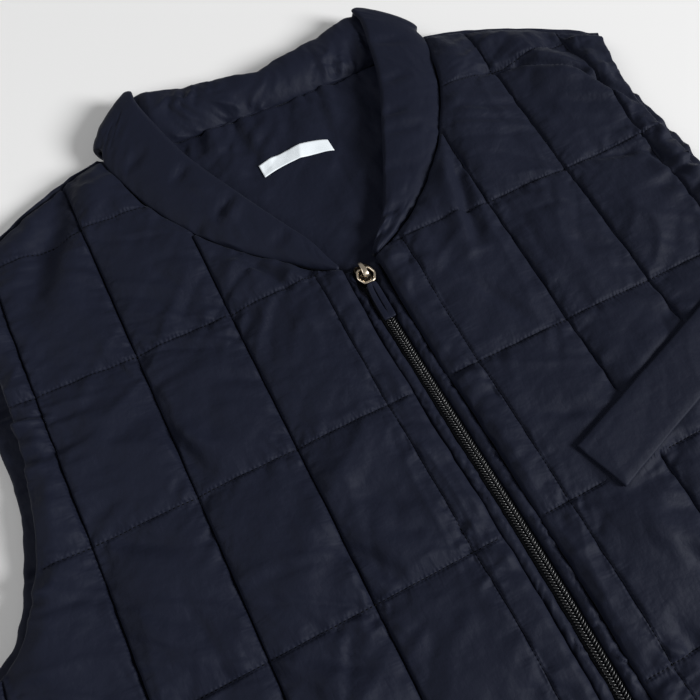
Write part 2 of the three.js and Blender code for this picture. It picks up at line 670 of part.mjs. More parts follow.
// The welt is made from the front's own points, moved out
function welt() {
  const ring = weltRing();
  const edge = [...ring, ring[0]];
  const under = (x, y) => frontUpper(x, y) + SEAM_GAP;
  const crown = (x, y) => WELT.padding * Math.sqrt(smooth(toLine(x, y, edge) / WELT_EDGE));
  const over = (x, y) => under(x, y) + WELT.wall + crown(x, y);
  const lower = { insets: [0], fill: weltFill(), height: under };
  return wall(ring, lower, { insets: RIMS.welt, fill: weltFill(), height: over });
}

// The label is blank, and bows a little towards the collar
function label() {
  const parts = 10;
  const rings = Array.from({ length: parts + 1 }, (_, i) => {
    const share = i / parts;
    const x = LABEL.x + (share - 0.5) * LABEL.long;
    const y = LABEL.y + LABEL.rise * (1 - (2 * share - 1) ** 2);
    const low = BACK_TOP + SEAM_GAP;
    const [down, up] = [y - LABEL.high / 2, y + LABEL.high / 2];
    return [[x, down, low], [x, up, low], [x, up, low + LABEL.wall], [x, down, low + LABEL.wall]];
  });
  return loft(rings);
}

add("back", back(), NAVY);
add("front_left", front(1), NAVY);
add("front_right", front(-1), NAVY);
add("collar_left", collar(), NAVY);
add("collar_right", mirror(collar()), NAVY);
add("zip_strip_left", strip(), NAVY);
add("zip_strip_right", mirror(strip()), NAVY);
add("zip_chain", chain(), BLACK);
add("zip_slider", slider(), PALE_GOLD);
add("zip_pull", pull(), PALE_GOLD);
add("pull_tab", tab(), NAVY);
add("breast_welt", welt(), NAVY);
add("neck_label", label(), LABEL_WHITE);

export default vest;
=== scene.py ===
"""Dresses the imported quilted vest: padded navy nylon, its zip, the breast welt and a blank neck label.

Sizes are in millimetres until a mesh is made. +X is the wearer's left, +Y points to the collar, +Z is up.
"""
import math

import bpy
import numpy as np
from mathutils import Matrix, Vector
from mathutils.geometry import delaunay_2d_cdt


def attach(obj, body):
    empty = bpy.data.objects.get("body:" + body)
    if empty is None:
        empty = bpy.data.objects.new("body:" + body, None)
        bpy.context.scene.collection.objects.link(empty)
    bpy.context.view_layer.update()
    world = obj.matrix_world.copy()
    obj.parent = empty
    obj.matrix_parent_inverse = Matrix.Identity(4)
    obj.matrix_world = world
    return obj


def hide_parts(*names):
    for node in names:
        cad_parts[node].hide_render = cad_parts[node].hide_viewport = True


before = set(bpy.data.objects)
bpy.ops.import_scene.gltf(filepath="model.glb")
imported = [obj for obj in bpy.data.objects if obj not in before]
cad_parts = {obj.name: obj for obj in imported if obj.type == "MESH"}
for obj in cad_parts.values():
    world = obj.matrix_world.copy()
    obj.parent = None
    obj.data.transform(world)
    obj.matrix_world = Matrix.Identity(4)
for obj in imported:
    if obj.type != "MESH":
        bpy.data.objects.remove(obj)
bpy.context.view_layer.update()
MM = 0.001

# Sizes of the cut, as the frame has them
HEM_Y = -350.7
ZIP_TOP_Y = 187.5
PLACKET_X = 10.4
COLUMN = 52.0
FIRST_LINE_X = 26.0
ROW = 80.7
TOP_ROW_Y = 271.8
SEAM_GAP = 0.3
STITCH_PITCH = 2.2

# Levels and walls
PUFF = 6.4
ROW_DEPTH = 0.62
BACK_TOP = 7.0
FRONT_LOW = BACK_TOP + SEAM_GAP
EDGE_WALL = 2.4
ROLL_TOP = 9.6
ROLL_WIDTH = 3.4
FRONT_INSET = 5.0
NECK_LIFT, NECK_REACH = 3.8, 46.0
ARM_LIFT, ARM_REACH = 4.5, 34.0
ROLL_FADE = 22.0

# The zip's line drifts to the wearer's right towards the neck, and the cloth beside it goes with it
DRIFT = dict(far=-5, start_y=-20, over=200, neck_y=190, neck_fade=25, side_fade=40)

# The cut of the wearer's left half: x, y
NECK_SEAM = [(11, ZIP_TOP_Y), (35, 202), (67, 231.5), (90, 266), (99, 289), (105, 311.5)]
BACK_NECK = [(0, 310.5), (50, 311), (84, 313), (106.5, 317.5)]
SHOULDER = [(106.5, 317.5), (130, 311.5), (171, 293.5), (210, 272)]
FRONT_ARMHOLE = [
    (206.5, 268), (198.5, 243), (195, 203), (198.5, 150), (205.5, 117), (221, 85), (240, 73), (266.5, 64),
]
BACK_ARMHOLE = [
    (210, 272), (203.5, 240), (203, 215), (207.5, 185), (207.5, 150), (216, 113), (230, 86), (272, 66),
]
SIDE = [(272, 66), (268, -100), (265.5, -230), (268, HEM_Y)]

# The main folds of the fronts: from x, y to x, y, then width and height (a trough where it is below zero)
FOLDS = [
    (-132, 305, -168, 239, 13, -3.6),
    (-112, 300, -150, 236, 16, 2.6),
    (-72, 236, -30, 196, 6.5, -3.2),
    (-70, 226, -40, 197, 5, -2.0),
    (-60, 238, -24, 200, 9, 2.0),
    (78, 236, 60, 172, 8, -2.8),
    (66, 226, 50, 170, 9, 2.2),
    (150, 288, 182, 222, 20, 3.2),
    (196, 262, 192, 200, 12, -2.6),
    (40, 20, 76, -30, 14, 2.2),
    (-60, 100, -104, 52, 15, 1.8),
    (-210, 70, -238, -40, 20, 2.6),
    (214, 66, 240, -56, 18, 2.8),
]

# Sharper creases that only show close up, in the same terms
CREASES = [
    (122, 273, 152, 267, 5, -3.6),
    (146, 268, 176, 245, 5, -4.4),
    (172, 248, 198, 206, 5, -3.6),
    (146, 256, 168, 234, 17, 3.2),
    (162, 284, 194, 250, 12, -1.8),
    (184, 262, 190, 232, 9, 1.5),
    (146, 190, 179, 181, 5, -1.6),
    (178, 182, 190, 148, 6, -2.2),
    (-64, 230, -45, 191, 5, -2.6),
    (-33, 202, -20, 190, 4, -1.8),
    (-48, 214, -34, 192, 6, 1.4),
    (-132, 150, -122, 118, 6, -1.6),
    (-126, 148, -112, 124, 8, 1.4),
    (-170, 108, -146, 92, 7, -1.5),
    (-80, 60, -62, 34, 7, -1.6),
    (-70, 62, -52, 40, 9, 1.4),
    (-120, 22, -92, -12, 9, 1.6),
    (-112, 24, -88, 4, 6, -1.5),
    (-50, -30, -34, -70, 8, -1.5),
    (44, 150, 60, 118, 6, -1.6),
    (38, 72, 62, 62, 6, -1.4),
    (60, -12, 72, -52, 8, -2.4),
    (68, -10, 84, -48, 10, 1.8),
    (36, -38, 44, -74, 7, -2.0),
    (104, 152, 124, 132, 7, -1.4),
    (150, 10, 176, -24, 10, -1.8),
    (-220, -110, -196, -160, 12, 1.8),
    (200, -130, 226, -190, 12, 1.8),
    (96, -200, 120, -250, 10, -1.6),
    (-100, -180, -80, -236, 10, -1.6),
]

# Layers of soft creases all over the cloth: strength, angle, length, width and seed
CREASE_LAYERS = [
    (2.2, 38, 46, 17, 0),
    (1.9, -28, 40, 15, 20),
    (1.6, 82, 52, 19, 40),
    (0.5, 12, 19, 7, 70),
    (0.5, -55, 18, 7, 80),
]

# How a quilted cell rises from its lines, and how the cloth rises from the front's edge
CELL = dict(upright_power=0.3, level_power=0.46, plumpness=0.14, filled_by_zip=0.55)
EDGE = dict(reach=9, steep_by_zip=1.6, steep_reach=12)
GROOVE = dict(upright=1.2, level=0.45, reach=0.9, filled_by_zip=0.75)
FOLD_STRENGTH = 1.5
CREASE_STRENGTH = 0.8
DEEPEST_FOLD = -1.6

# Wrinkles beside the quilting lines: pitch, height and reach
FINE_UPRIGHT, FINE_LEVEL, FINE_SLANT = (5, 1.0, 5), (5, 1.05, 6), 0.7
BROAD_UPRIGHT, BROAD_LEVEL, BROAD_SLANT = (13, 1.5, 11), (14, 1.7, 13), 0.9

WELT = dict(x=46.4, y=36.5, angle=19, long=125, high=29, side=1.8, crown=0.8, margin=5)
WELT_FLAT = 0.81


def smooth(t):
    """Eases from 0 to 1"""
    c = np.clip(t, 0, 1)
    return c * c * (3 - 2 * c)


def unit(vectors):
    """Vectors of length 1 in the same directions"""
    return vectors / np.linalg.norm(vectors, axis=1, keepdims=True)


def closed(ring):
    """An outline with its first point added at the end"""
    return np.vstack([ring, ring[:1]])


def lengths_along(line):
    """Distance of each of a line's points from its start"""
    return np.r_[0, np.cumsum(np.linalg.norm(np.diff(line, axis=0), axis=1))]


def at_lengths(line, lengths):
    """Points of a line at the given distances from its start"""
    along = lengths_along(line)
    return np.stack([np.interp(lengths, along, line[:, k]) for k in range(line.shape[1])], axis=-1)


def spline(b, c, m, n, t):
    """Points from b to c, leaving b along m and reaching c along n, for t from 0 to 1"""
    return (2 * b - 2 * c + m + n) * t**3 + (3 * c - 3 * b - 2 * m - n) * t**2 + m * t + b


def curve(rows, step=2.0):
    """Even points on the smooth curve through a table's rows"""
    rows = np.array(rows, float)
    held = np.vstack([rows[:1], rows, rows[-1:]])
    t = np.linspace(0, 1, 40, endpoint=False)[:, None]
    spans = zip(held, held[1:], held[2:], held[3:])
    parts = [spline(b, c, (c - a) / 2, (d - b) / 2, t) for a, b, c, d in spans]
    dense = np.vstack(parts + [rows[-1:]])
    total = lengths_along(dense)[-1]
    return at_lengths(dense, np.linspace(0, total, max(2, round(total / step)) + 1))


def straight(a, b, step=2.0):
    """Even points from a to b"""
    parts = max(1, round(math.dist(a, b) / step))
    return np.linspace(a, b, parts + 1)


def right_of(line):
    """Unit vectors to the right of a line's direction"""
    along = unit(np.gradient(line, axis=0))
    return np.column_stack([along[:, 1], -along[:, 0]])


def moved(line, distance):
    """A line moved to the right of its direction"""
    return line + distance * right_of(line)


def nearest(x, y, line):
    """Distance of each point from a line, and how far along the line the closest place is"""
    away = np.full(np.shape(x), np.inf)
    along = np.zeros(np.shape(x))
    start = 0.0
    for a, b in zip(line, line[1:]):
        dx, dy = b - a
        length = math.hypot(dx, dy)
        from_x, from_y = x - a[0], y - a[1]
        t = np.clip((from_x * dx + from_y * dy) / length**2, 0, 1)
        distance = np.hypot(from_x - t * dx, from_y - t * dy)
        closer = distance < away
        away = np.where(closer, distance, away)
        along = np.where(closer, start + t * length, along)
        start += length
    return away, along


def inside(x, y, ring):
    """Whether each point lies in a closed outline"""
    odd = np.zeros(np.shape(x), bool)
    for a, b in zip(ring, np.roll(ring, 1, axis=0)):
        if a[1] != b[1]:
            crosses = ((a[1] > y) != (b[1] > y)) & (x < (b[0] - a[0]) * (y - a[1]) / (b[1] - a[1]) + a[0])
            odd ^= crosses
    return odd


def noise(u, v, seed):
    """Smooth noise from -1 to 1 on a unit grid"""
    i, j = np.floor(u), np.floor(v)
    s, t = smooth(u - i), smooth(v - j)

    def corner(a, b):
        wave = np.sin((i + a) * 127.1 + (j + b) * 311.7 + seed * 74.7) * 43758.5453
        return 2 * (wave - np.floor(wave)) - 1

    low = corner(0, 0) * (1 - s) + corner(1, 0) * s
    high = corner(0, 1) * (1 - s) + corner(1, 1) * s
    return low * (1 - t) + high * t


def puckers(along, away, pitch, high, reach, seed, slant=0.3):
    """Small cross wrinkles that stand beside a sewn line and fade with distance from it"""
    leaning = along + slant * away * noise(along / 40, away * 0, seed + 3)
    waves = noise(2 * leaning / pitch, away / (2.5 * pitch), seed)
    waves = waves + 0.5 * noise(4.3 * leaning / pitch, away / pitch, seed + 9)
    strength = 0.6 + 0.6 * noise(along / 13, away * 0, seed + 1)
    return high * waves * strength * smooth(away / 1.8) * np.exp(-away / reach)


def crease_layer(x, y, angle, long, wide, seed):
    """Soft ridges and troughs that run one way and come and go"""
    turn = math.radians(angle)
    bent_x = x + 9 * noise(x / 41, y / 37, seed + 5)
    bent_y = y + 9 * noise(x / 37, y / 43, seed + 6)
    u = (bent_x * math.cos(turn) + bent_y * math.sin(turn)) / long
    v = (bent_y * math.cos(turn) - bent_x * math.sin(turn)) / wide
    ridge = (1 - np.abs(noise(u, v, seed))) ** 4
    trough = (1 - np.abs(noise(u + 0.5, v + 0.4, seed + 1))) ** 4
    shown = smooth(0.45 + 1.3 * noise(x / 52, y / 47, seed + 2))
    return (ridge - trough) * shown


def creases(x, y, seed):
    """The soft creases of padded nylon that was folded and laid out again"""
    height = np.zeros(np.shape(x))
    for strength, angle, long, wide, own_seed in CREASE_LAYERS:
        height += strength * crease_layer(x, y, angle, long, wide, seed + own_seed)
    return height + 0.6 * noise(x / 15, y / 13, seed + 60) + 0.15 * noise(x / 7, y / 6, seed + 61)


def folds_at(x, y, folds):
    """Height of a table of folds"""
    height = np.zeros(np.shape(x))
    for x0, y0, x1, y1, wide, high in folds:
        dx, dy = x1 - x0, y1 - y0
        t = np.clip(((x - x0) * dx + (y - y0) * dy) / (dx * dx + dy * dy), 0, 1)
        away = np.hypot(x - x0 - t * dx, y - y0 - t * dy)
        height += high * smooth(1 - away / wide) * (0.4 + 0.6 * np.sin(np.pi * t))
    return height


# Lines that the panels are cut to
neck_seam = curve(NECK_SEAM)
back_neck = curve(BACK_NECK)
shoulder = curve(SHOULDER)
front_armhole = curve(FRONT_ARMHOLE)
back_armhole = curve(BACK_ARMHOLE)
side = curve(SIDE, 3)
front_top = moved(shoulder, FRONT_INSET)
front_side = moved(side, FRONT_INSET)
hem_front_y = HEM_Y + 1

placket = straight((PLACKET_X, ZIP_TOP_Y), (PLACKET_X, hem_front_y), 3)
front_hem = straight((PLACKET_X, hem_front_y), (front_side[-1][0], hem_front_y), 3)
FRONT_RING = np.vstack(
    [
        placket[:-1],
        front_hem[:-1],
        front_side[::-1][1:-1],
        front_armhole[::-1],
        front_top[::-1][1:],
        neck_seam[::-1][:-1],
    ]
)
BACK_UP = np.vstack([back_neck[:-1], shoulder[:-1], back_armhole[:-1], side])
BACK_RING = np.vstack(
    [
        BACK_UP[::-1],
        (BACK_UP * (-1, 1))[1:],
        straight((-BACK_UP[-1][0], HEM_Y), (BACK_UP[-1][0], HEM_Y), 3)[1:-1],
    ]
)


def roll_distance(x, y, lines):
    """Distance from the nearer of two lines"""
    return np.minimum(nearest(x, y, lines[0])[0], nearest(x, y, lines[1])[0])


def under_welt(x, y):
    """1 well under the welt and 0 clear of it"""
    turn = math.radians(WELT["angle"])
    along = (x - WELT["x"]) * math.cos(turn) + (y - WELT["y"]) * math.sin(turn)
    across = (y - WELT["y"]) * math.cos(turn) - (x - WELT["x"]) * math.sin(turn)
    over = np.maximum(np.maximum(-along, along - WELT["long"]), np.abs(across) - WELT["high"] / 2)
    return smooth(1 - over / WELT["margin"])


def front_low(x, y):
    """The inner face of a front, for x counted outwards from the zip"""
    neck = NECK_LIFT * smooth(1 - nearest(x, y, neck_seam)[0] / NECK_REACH)
    arm = ARM_LIFT * smooth(1 - nearest(x, y, front_armhole)[0] / ARM_REACH)
    return FRONT_LOW + (neck + arm) * smooth(roll_distance(x, y, (front_top, front_side)) / ROLL_FADE)


def swell(place, power):
    """Quilting: 0 on a line and 1 in the middle of a cell, in one direction"""
    share = place - np.floor(place)
    return np.sin(np.pi * share) ** power


def line_away(place, spacing):
    """Distance from the nearest of evenly spaced lines, and which line it is"""
    number = np.round(place)
    return np.abs(place - number) * spacing, number


def front_high(x, y, sign):
    """The outer face of a front. sign is 1 for the wearer's left and -1 for the right."""
    seed = 3 if sign > 0 else 11
    column, row = (x - FIRST_LINE_X) / COLUMN, (TOP_ROW_Y - y) / ROW
    upright, level = swell(column, CELL["upright_power"]), swell(row, CELL["level_power"])
    by_zip = smooth(1 - np.abs(x - FIRST_LINE_X) / FIRST_LINE_X)
    upright = upright + (1 - upright) * CELL["filled_by_zip"] * by_zip
    plump = 1 + CELL["plumpness"] * noise(np.floor(column) + 0.5, np.floor(row) + 0.5, seed)
    cell = upright * (1 - ROW_DEPTH + ROW_DEPTH * level) * plump
    covered = under_welt(x, y) if sign > 0 else np.zeros(np.shape(x))
    puff = PUFF * (cell * (1 - covered) + WELT_FLAT * covered)
    edge_away, _ = nearest(x, y, closed(FRONT_RING))
    steep = 1 + EDGE["steep_by_zip"] * smooth(1 - (x - PLACKET_X) / EDGE["steep_reach"])
    edge = np.sqrt(np.clip(edge_away * steep / EDGE["reach"], 0, 1))
    folds = FOLD_STRENGTH * folds_at(x * sign, y, FOLDS + CREASES) * edge

    column_away, column_number = line_away(column, COLUMN)
    row_away, row_number = line_away(row, ROW)
    seed_up = seed + 7 * column_number + 3 * np.sign(column - column_number)
    seed_level = seed + 5 * row_number + 2 * np.sign(row - row_number)
    detail = puckers(y, column_away, *FINE_UPRIGHT, seed_up, FINE_SLANT)
    detail += puckers(x, row_away, *FINE_LEVEL, seed_level, FINE_SLANT)
    detail += puckers(y, column_away, *BROAD_UPRIGHT, seed_up + 50, BROAD_SLANT)
    detail += puckers(x, row_away, *BROAD_LEVEL, seed_level + 50, BROAD_SLANT)
    upright_groove = GROOVE["upright"] * (1 - GROOVE["filled_by_zip"] * by_zip)
    detail -= upright_groove * smooth(1 - column_away / GROOVE["reach"])
    detail -= GROOVE["level"] * smooth(1 - row_away / GROOVE["reach"])
    for line, pitch, high, reach in (
        (neck_seam, 8, 1.0, 10),
        (placket, 7.5, 1.0, 12),
        (front_top, 9, 0.9, 12),
        (front_side, 9, 0.8, 10),
        (front_armhole, 12, 4.2, 19),
        (front_hem, 8.5, 0.8, 10),
    ):
        away, along = nearest(x, y, line)
        detail += puckers(along, away, pitch, high, reach, seed + pitch)
    soft = CREASE_STRENGTH * np.sqrt(upright * (0.35 + 0.65 * level)) * edge
    detail += creases(x * sign, y, seed) * soft
    rise = puff * edge + (folds + detail) * (1 - covered)
    return front_low(x, y) + EDGE_WALL + np.maximum(DEEPEST_FOLD, rise)


def new_object(name, points, faces):
    """A smooth mesh object from points in millimetres. Its UV map holds places before the zip's drift."""
    mesh = bpy.data.meshes.new(name)
    mesh.from_pydata((np.asarray(points) * MM).tolist(), [], faces)
    mesh.validate()
    mesh.shade_smooth()
    corners = np.empty(len(mesh.loops), np.int32)
    mesh.loops.foreach_get("vertex_index", corners)
    co = np.empty(len(mesh.vertices) * 3, np.float32)
    mesh.vertices.foreach_get("co", co)
    mesh.uv_layers.new(name="cut").data.foreach_set("uv", co.reshape(-1, 3)[corners, :2].ravel())
    made = bpy.data.objects.new(name, mesh)
    bpy.context.scene.collection.objects.link(made)
    return made


def rim_loop(cells):
    """The points on the rim of a grid's cells, in order"""
    edges = np.vstack([cells[:, [0, 1]], cells[:, [1, 2]], cells[:, [2, 3]], cells[:, [3, 0]]])
    low, high = edges.min(axis=1), edges.max(axis=1)
    key = low.astype(np.int64) * (cells.max() + 1) + high
    _, first, uses = np.unique(key, return_index=True, return_counts=True)
    after = dict(edges[first[uses == 1]].tolist())
    start = next(iter(after))
    loop = [start]
    while after[loop[-1]] != start:
        loop.append(after[loop[-1]])
    return np.array(loop)


RIM_SMOOTHINGS = 14
RIM_WOBBLE = 0.16


def panel(name, ring, xs, ys, high, low, rim, profile, low_step, rolled=False):
    """A closed padded panel: a grid over an outline, a rounded rim round it and a plainer face below.

    The outline runs anticlockwise. rim is the rim's width, and profile gives the rim as rows of how far
    out it is and how high, both from 0 to 1. high and low are the heights of the two faces. A rolled
    panel's rim stands up beside the shoulders and the sides.
    """
    outline = closed(ring)
    inward = -right_of(outline)
    x, y = np.meshgrid(xs, ys)
    middle_x, middle_y = (x[:-1, :-1] + x[1:, 1:]) / 2, (y[:-1, :-1] + y[1:, 1:]) / 2
    kept = inside(middle_x, middle_y, ring)
    kept[kept] = nearest(middle_x[kept], middle_y[kept], outline)[0] > rim
    rows, columns = np.nonzero(kept)
    index = np.arange(x.size).reshape(x.shape)
    corners = [(rows, columns), (rows, columns + 1), (rows + 1, columns + 1), (rows + 1, columns)]
    cells = np.column_stack([index[corner] for corner in corners])
    used, cells = np.unique(cells, return_inverse=True)
    cells = cells.reshape(-1, 4)
    flat = np.column_stack([x.ravel(), y.ravel()])[used]
    loop = rim_loop(cells)
    lengths = lengths_along(outline)
    total = lengths[-1]
    _, along = nearest(flat[loop, 0], flat[loop, 1], outline)
    for _ in range(RIM_SMOOTHINGS):
        step = (np.roll(along, -1) - along + total / 2) % total - total / 2
        along = (along + (step - np.roll(step, 1)) / 4) % total
    way = np.stack([np.interp(along, lengths, inward[:, k]) for k in (0, 1)], axis=-1)
    way = unit(way + np.roll(way, 1, axis=0) + np.roll(way, -1, axis=0))
    flat[loop] = at_lengths(outline, along) + rim * way
    wobble = 1 + RIM_WOBBLE * noise(along / 6.5, along * 0, 87)
    wobble += RIM_WOBBLE * noise(along / 15, along * 0, 88)
    top = high(flat[:, 0], flat[:, 1])
    points = [np.column_stack([flat, top])]
    bottom = low(flat[loop, 0], flat[loop, 1])
    count = len(flat)
    before = loop
    faces = cells.tolist()
    for out, up in profile[1:]:
        spot = flat[loop] - (rim * out * wobble)[:, None] * way
        rise = rolled_rise(spot, out) if rolled else 0
        points.append(np.column_stack([spot, bottom + up * (top[loop] + rise - bottom)]))
        ringed = np.arange(count, count + len(loop))
        quads = np.column_stack([before, ringed, np.roll(ringed, -1), np.roll(before, -1)])
        faces += quads.tolist()
        before = ringed
        count += len(loop)
    faces += under_face(points, before, low, low_step)
    return new_object(name, np.vstack(points), faces)


def rolled_rise(spot, out):
    """How much higher a rim stands beside the shoulders and the sides"""
    across = np.abs(spot[:, 0])
    beside = smooth((6 - roll_distance(across, spot[:, 1], (shoulder[2:-2], side[2:-2]))) / 3)
    return beside * (ROLL_TOP - BACK_TOP) * smooth(out / 0.45)


def under_face(points, rim, low, step):
    """Triangles over the lower face, between the last ring and loose points inside it"""
    edge = np.vstack(points)[rim, :2]
    xs = np.arange(edge[:, 0].min() + step, edge[:, 0].max(), step)
    ys = np.arange(edge[:, 1].min() + step, edge[:, 1].max(), step)
    x, y = (a.ravel() for a in np.meshgrid(xs, ys))
    within = inside(x, y, edge)
    x, y = x[within], y[within]
    clear = nearest(x, y, closed(edge))[0] > step * 0.4
    loose = np.column_stack([x[clear], y[clear]])
    flat = np.vstack([edge, loose])
    border = [(i, (i + 1) % len(edge)) for i in range(len(edge))]
    _, _, triangles, origin, _, _ = delaunay_2d_cdt(flat.tolist(), border, [], 1, 1e-4)
    start = sum(len(p) for p in points)
    points.append(np.column_stack([loose, low(loose[:, 0], loose[:, 1])]))
    place = [rim[o[0]] if o[0] < len(edge) else start + o[0] - len(edge) for o in origin]
    return [[int(place[i]) for i in t][::-1] for t in triangles]


def grid_lines(spacing, parts, first, low, high, crowd):
    """Grid lines between evenly spaced quilting lines, with the same number of parts between each two.

    They stand closer together near the quilting lines, by the share crowd.
    """
    step = spacing / parts
    numbers = np.arange(math.floor((low - first) / step) - 1, math.ceil((high - first) / step) + 2)
    turns = 2 * np.pi * numbers / parts
    return first + numbers * step - crowd * spacing * np.sin(turns) / (2 * np.pi)


# Cloth, thread, plastic, metal and label finishes. The thread's near-black and the slider body's dark
# gold are painted shade.
SHELL_DARK, SHELL_LIGHT = (0.0057, 0.0070, 0.0150), (0.0077, 0.0093, 0.0186)
# Thread darkened to near-black: painted shade of the pits that the stitches draw into the cloth, over
# thread that is navy like the shell
THREAD_PAINTED_SHADE_TONES = (0.0006, 0.0008, 0.0014), (0.0012, 0.0015, 0.0024)
TOOTH_TONES = (0.003, 0.0035, 0.0045), (0.005, 0.006, 0.008)
TAPE_TONES = (0.002, 0.0023, 0.003), (0.0035, 0.004, 0.005)
GOLD_TONES = (0.66, 0.56, 0.43), (0.78, 0.68, 0.54)
# Gold darkened for the slider's body: painted shade and painted dark reflection on the same gold metal as
# the bridge
GOLD_PAINTED_SHADE_TONES = (0.03, 0.025, 0.018), (0.07, 0.056, 0.04)
LABEL_TONES = (0.66, 0.71, 0.75), (0.74, 0.79, 0.83)
CLOTH_SHEEN = {"Sheen Weight": 0.03, "Sheen Roughness": 0.4, "Sheen Tint": (0.72, 0.8, 1.0, 1)}
CLOTH_SHINE = {"Specular IOR Level": 0.1, "Specular Tint": (0.86, 0.9, 1.0, 1)}
# The gathers at each stitch: how far they reach and how strong they are
STITCH_GATHERS = dict(upright=(1.8, 0.3), level=(2.2, 0.36))


class Nodes:
    """A material's node tree, built a node at a time"""

    def __init__(self, name):
        self.material = bpy.data.materials.new(name)
        self.material.use_nodes = True
        self.tree = self.material.node_tree
        self.shader = self.tree.nodes["Principled BSDF"]
        self.place = self.add("ShaderNodeTexCoord").outputs["Object"]

    def add(self, kind, inputs=None, **settings):
        """A new node with its inputs set to values or to other nodes' outputs"""
        made = self.tree.nodes.new(kind)
        for key, value in settings.items():
            setattr(made, key, value)
        for key, value in (inputs or {}).items():
            if isinstance(value, bpy.types.NodeSocket):
                self.tree.links.new(value, made.inputs[key])
            else:
                made.inputs[key].default_value = value
        return made

    def finish(self, values):
        """Sets the shader's inputs to values or to other nodes' outputs"""
        for name, value in values.items():
            if isinstance(value, bpy.types.NodeSocket):
                self.tree.links.new(value, self.shader.inputs[name])
            else:
                self.shader.inputs[name].default_value = value

    def grain(self, scale, detail=2.0, roughness=0.5, stretch=(1, 1, 1)):
        """Noise over the object, scale in waves a metre"""
        place = self.add("ShaderNodeMapping", {"Vector": self.place, "Scale": stretch}).outputs[0]
        inputs = {"Vector": place, "Scale": scale, "Detail": detail, "Roughness": roughness}
        return self.add("ShaderNodeTexNoise", inputs).outputs["Fac"]

    def tones(self, factor, dark, light):
        """A colour between two tones"""
        mix = self.add("ShaderNodeMix", data_type="RGBA")
        self.tree.links.new(factor, mix.inputs["Factor"])
        mix.inputs["A"].default_value = (*dark, 1)
        mix.inputs["B"].default_value = (*light, 1)
        return mix.outputs["Result"]

    def between(self, factor, low, high):
        """A number between two values"""
        inputs = {"Value": factor, "To Min": low, "To Max": high}
        return self.add("ShaderNodeMapRange", inputs).outputs["Result"]

    def bump(self, height, strength, distance, under=None):
        """A bumped normal, distance in millimetres, on top of another one if it's given"""
        inputs = {"Height": height, "Strength": strength, "Distance": distance * MM}
        if under is not None:
            inputs["Normal"] = under
        return self.add("ShaderNodeBump", inputs).outputs["Normal"]

    def weave(self, pitch):
        """Threads over and under, pitch in millimetres"""
        scale = 2 * math.pi / 20 / (pitch * MM)
        inputs = {"Vector": self.place, "Scale": scale, "Distortion": 0.6, "Detail": 1.0}
        waves = []
        for direction in ("X", "Y"):
            wave = self.add("ShaderNodeTexWave", inputs, wave_type="BANDS", bands_direction=direction)
            waves.append(wave.outputs["Fac"])
        return self.maths("MAXIMUM", *waves)

    def maths(self, operation, *values):
        """The result of one calculation"""
        return self.add("ShaderNodeMath", dict(enumerate(values)), operation=operation).outputs[0]

    def fade(self, value, start, end):
        """1 where the value is at start, easing to 0 at end"""
        inputs = {"Value": value, "To Min": 1.0, "To Max": 0.0}
        inputs.update({"From Min": start * MM, "From Max": end * MM})
        return self.add("ShaderNodeMapRange", inputs, interpolation_type="SMOOTHSTEP").outputs["Result"]

    def gathers(self):
        """The short close gathers that the stitches draw up on both sides of each quilting line"""
        cut = self.add("ShaderNodeUVMap", uv_map="cut").outputs["UV"]
        axes = self.add("ShaderNodeSeparateXYZ", {"Vector": cut})
        x, y = self.maths("ABSOLUTE", axes.outputs["X"]), axes.outputs["Y"]
        upright = self.gathers_along(x, y, FIRST_LINE_X, COLUMN, *STITCH_GATHERS["upright"])
        level = self.gathers_along(y, x, TOP_ROW_Y, ROW, *STITCH_GATHERS["level"])
        return self.maths("ADD", upright, level)

    def gathers_along(self, place, along, first, spacing, reach, high):
        """Gathers beside evenly spaced lines: one at each stitch, and long ones that feather out"""
        away = self.maths("PINGPONG", self.maths("SUBTRACT", place, first * MM), spacing / 2 * MM)
        slant = self.maths("MULTIPLY", away, 0.25 / MM)
        drawn = self.maths("MULTIPLY_ADD", self.grain(140, 1), 7.0, slant)
        turns = self.maths("MULTIPLY_ADD", along, 2 * math.pi / (STITCH_PITCH * MM), drawn)
        near = self.maths("MULTIPLY", self.fade(away, 0.2, reach), high)
        streaks = self.add("ShaderNodeCombineXYZ", {"X": away, "Y": self.maths("MULTIPLY", along, 3.2)})
        shaken = {"Scale": 58, "Detail": 1.0, "Roughness": 0.5, "Distortion": 0.9}
        shaken["Vector"] = streaks.outputs[0]
        feather = self.add("ShaderNodeTexNoise", shaken).outputs["Fac"]
        spread = self.maths("MULTIPLY", self.fade(away, 0, 13), 1.8)
        feathers = self.maths("MULTIPLY", feather, spread)
        return self.maths("ADD", self.maths("MULTIPLY", self.maths("SINE", turns), near), feathers)

    def crumple(self):
        """Thin irregular creases all over the cloth"""
        ridges = []
        for scale, stretch in ((55, (1, 1.7, 1)), (95, (1.6, 1, 1))):
            wave = self.maths("SUBTRACT", self.grain(scale, 2.5, 0.5, stretch), 0.5)
            ridges.append(self.maths("ABSOLUTE", wave))
        shown = self.between(self.grain(22, 1), 0.2, 1.6)
        return self.maths("MULTIPLY", self.maths("ADD", *ridges), shown)


def nylon(name, dark, light, roughness, weave_pitch=0.45, wrinkle=0.5, quilted=False):
    """Smooth padded nylon: close weave, fine wrinkles and a soft sheen"""
    made = Nodes(name)
    made.finish({"Base Color": made.tones(made.grain(28, 3), dark, light)})
    made.finish({"Roughness": made.between(made.grain(90, 2), roughness - 0.05, roughness + 0.06)})
    made.finish(CLOTH_SHEEN | CLOTH_SHINE)
    fine = made.bump(made.weave(weave_pitch), 0.12, 0.12)
    small = made.bump(made.grain(260, 3, 0.55), wrinkle, 0.5, fine)
    small = made.bump(made.crumple(), wrinkle, 1.2, small)
    if quilted:
        small = made.bump(made.gathers(), 0.7, 0.45, small)
    made.finish({"Normal": small})
    return made.material


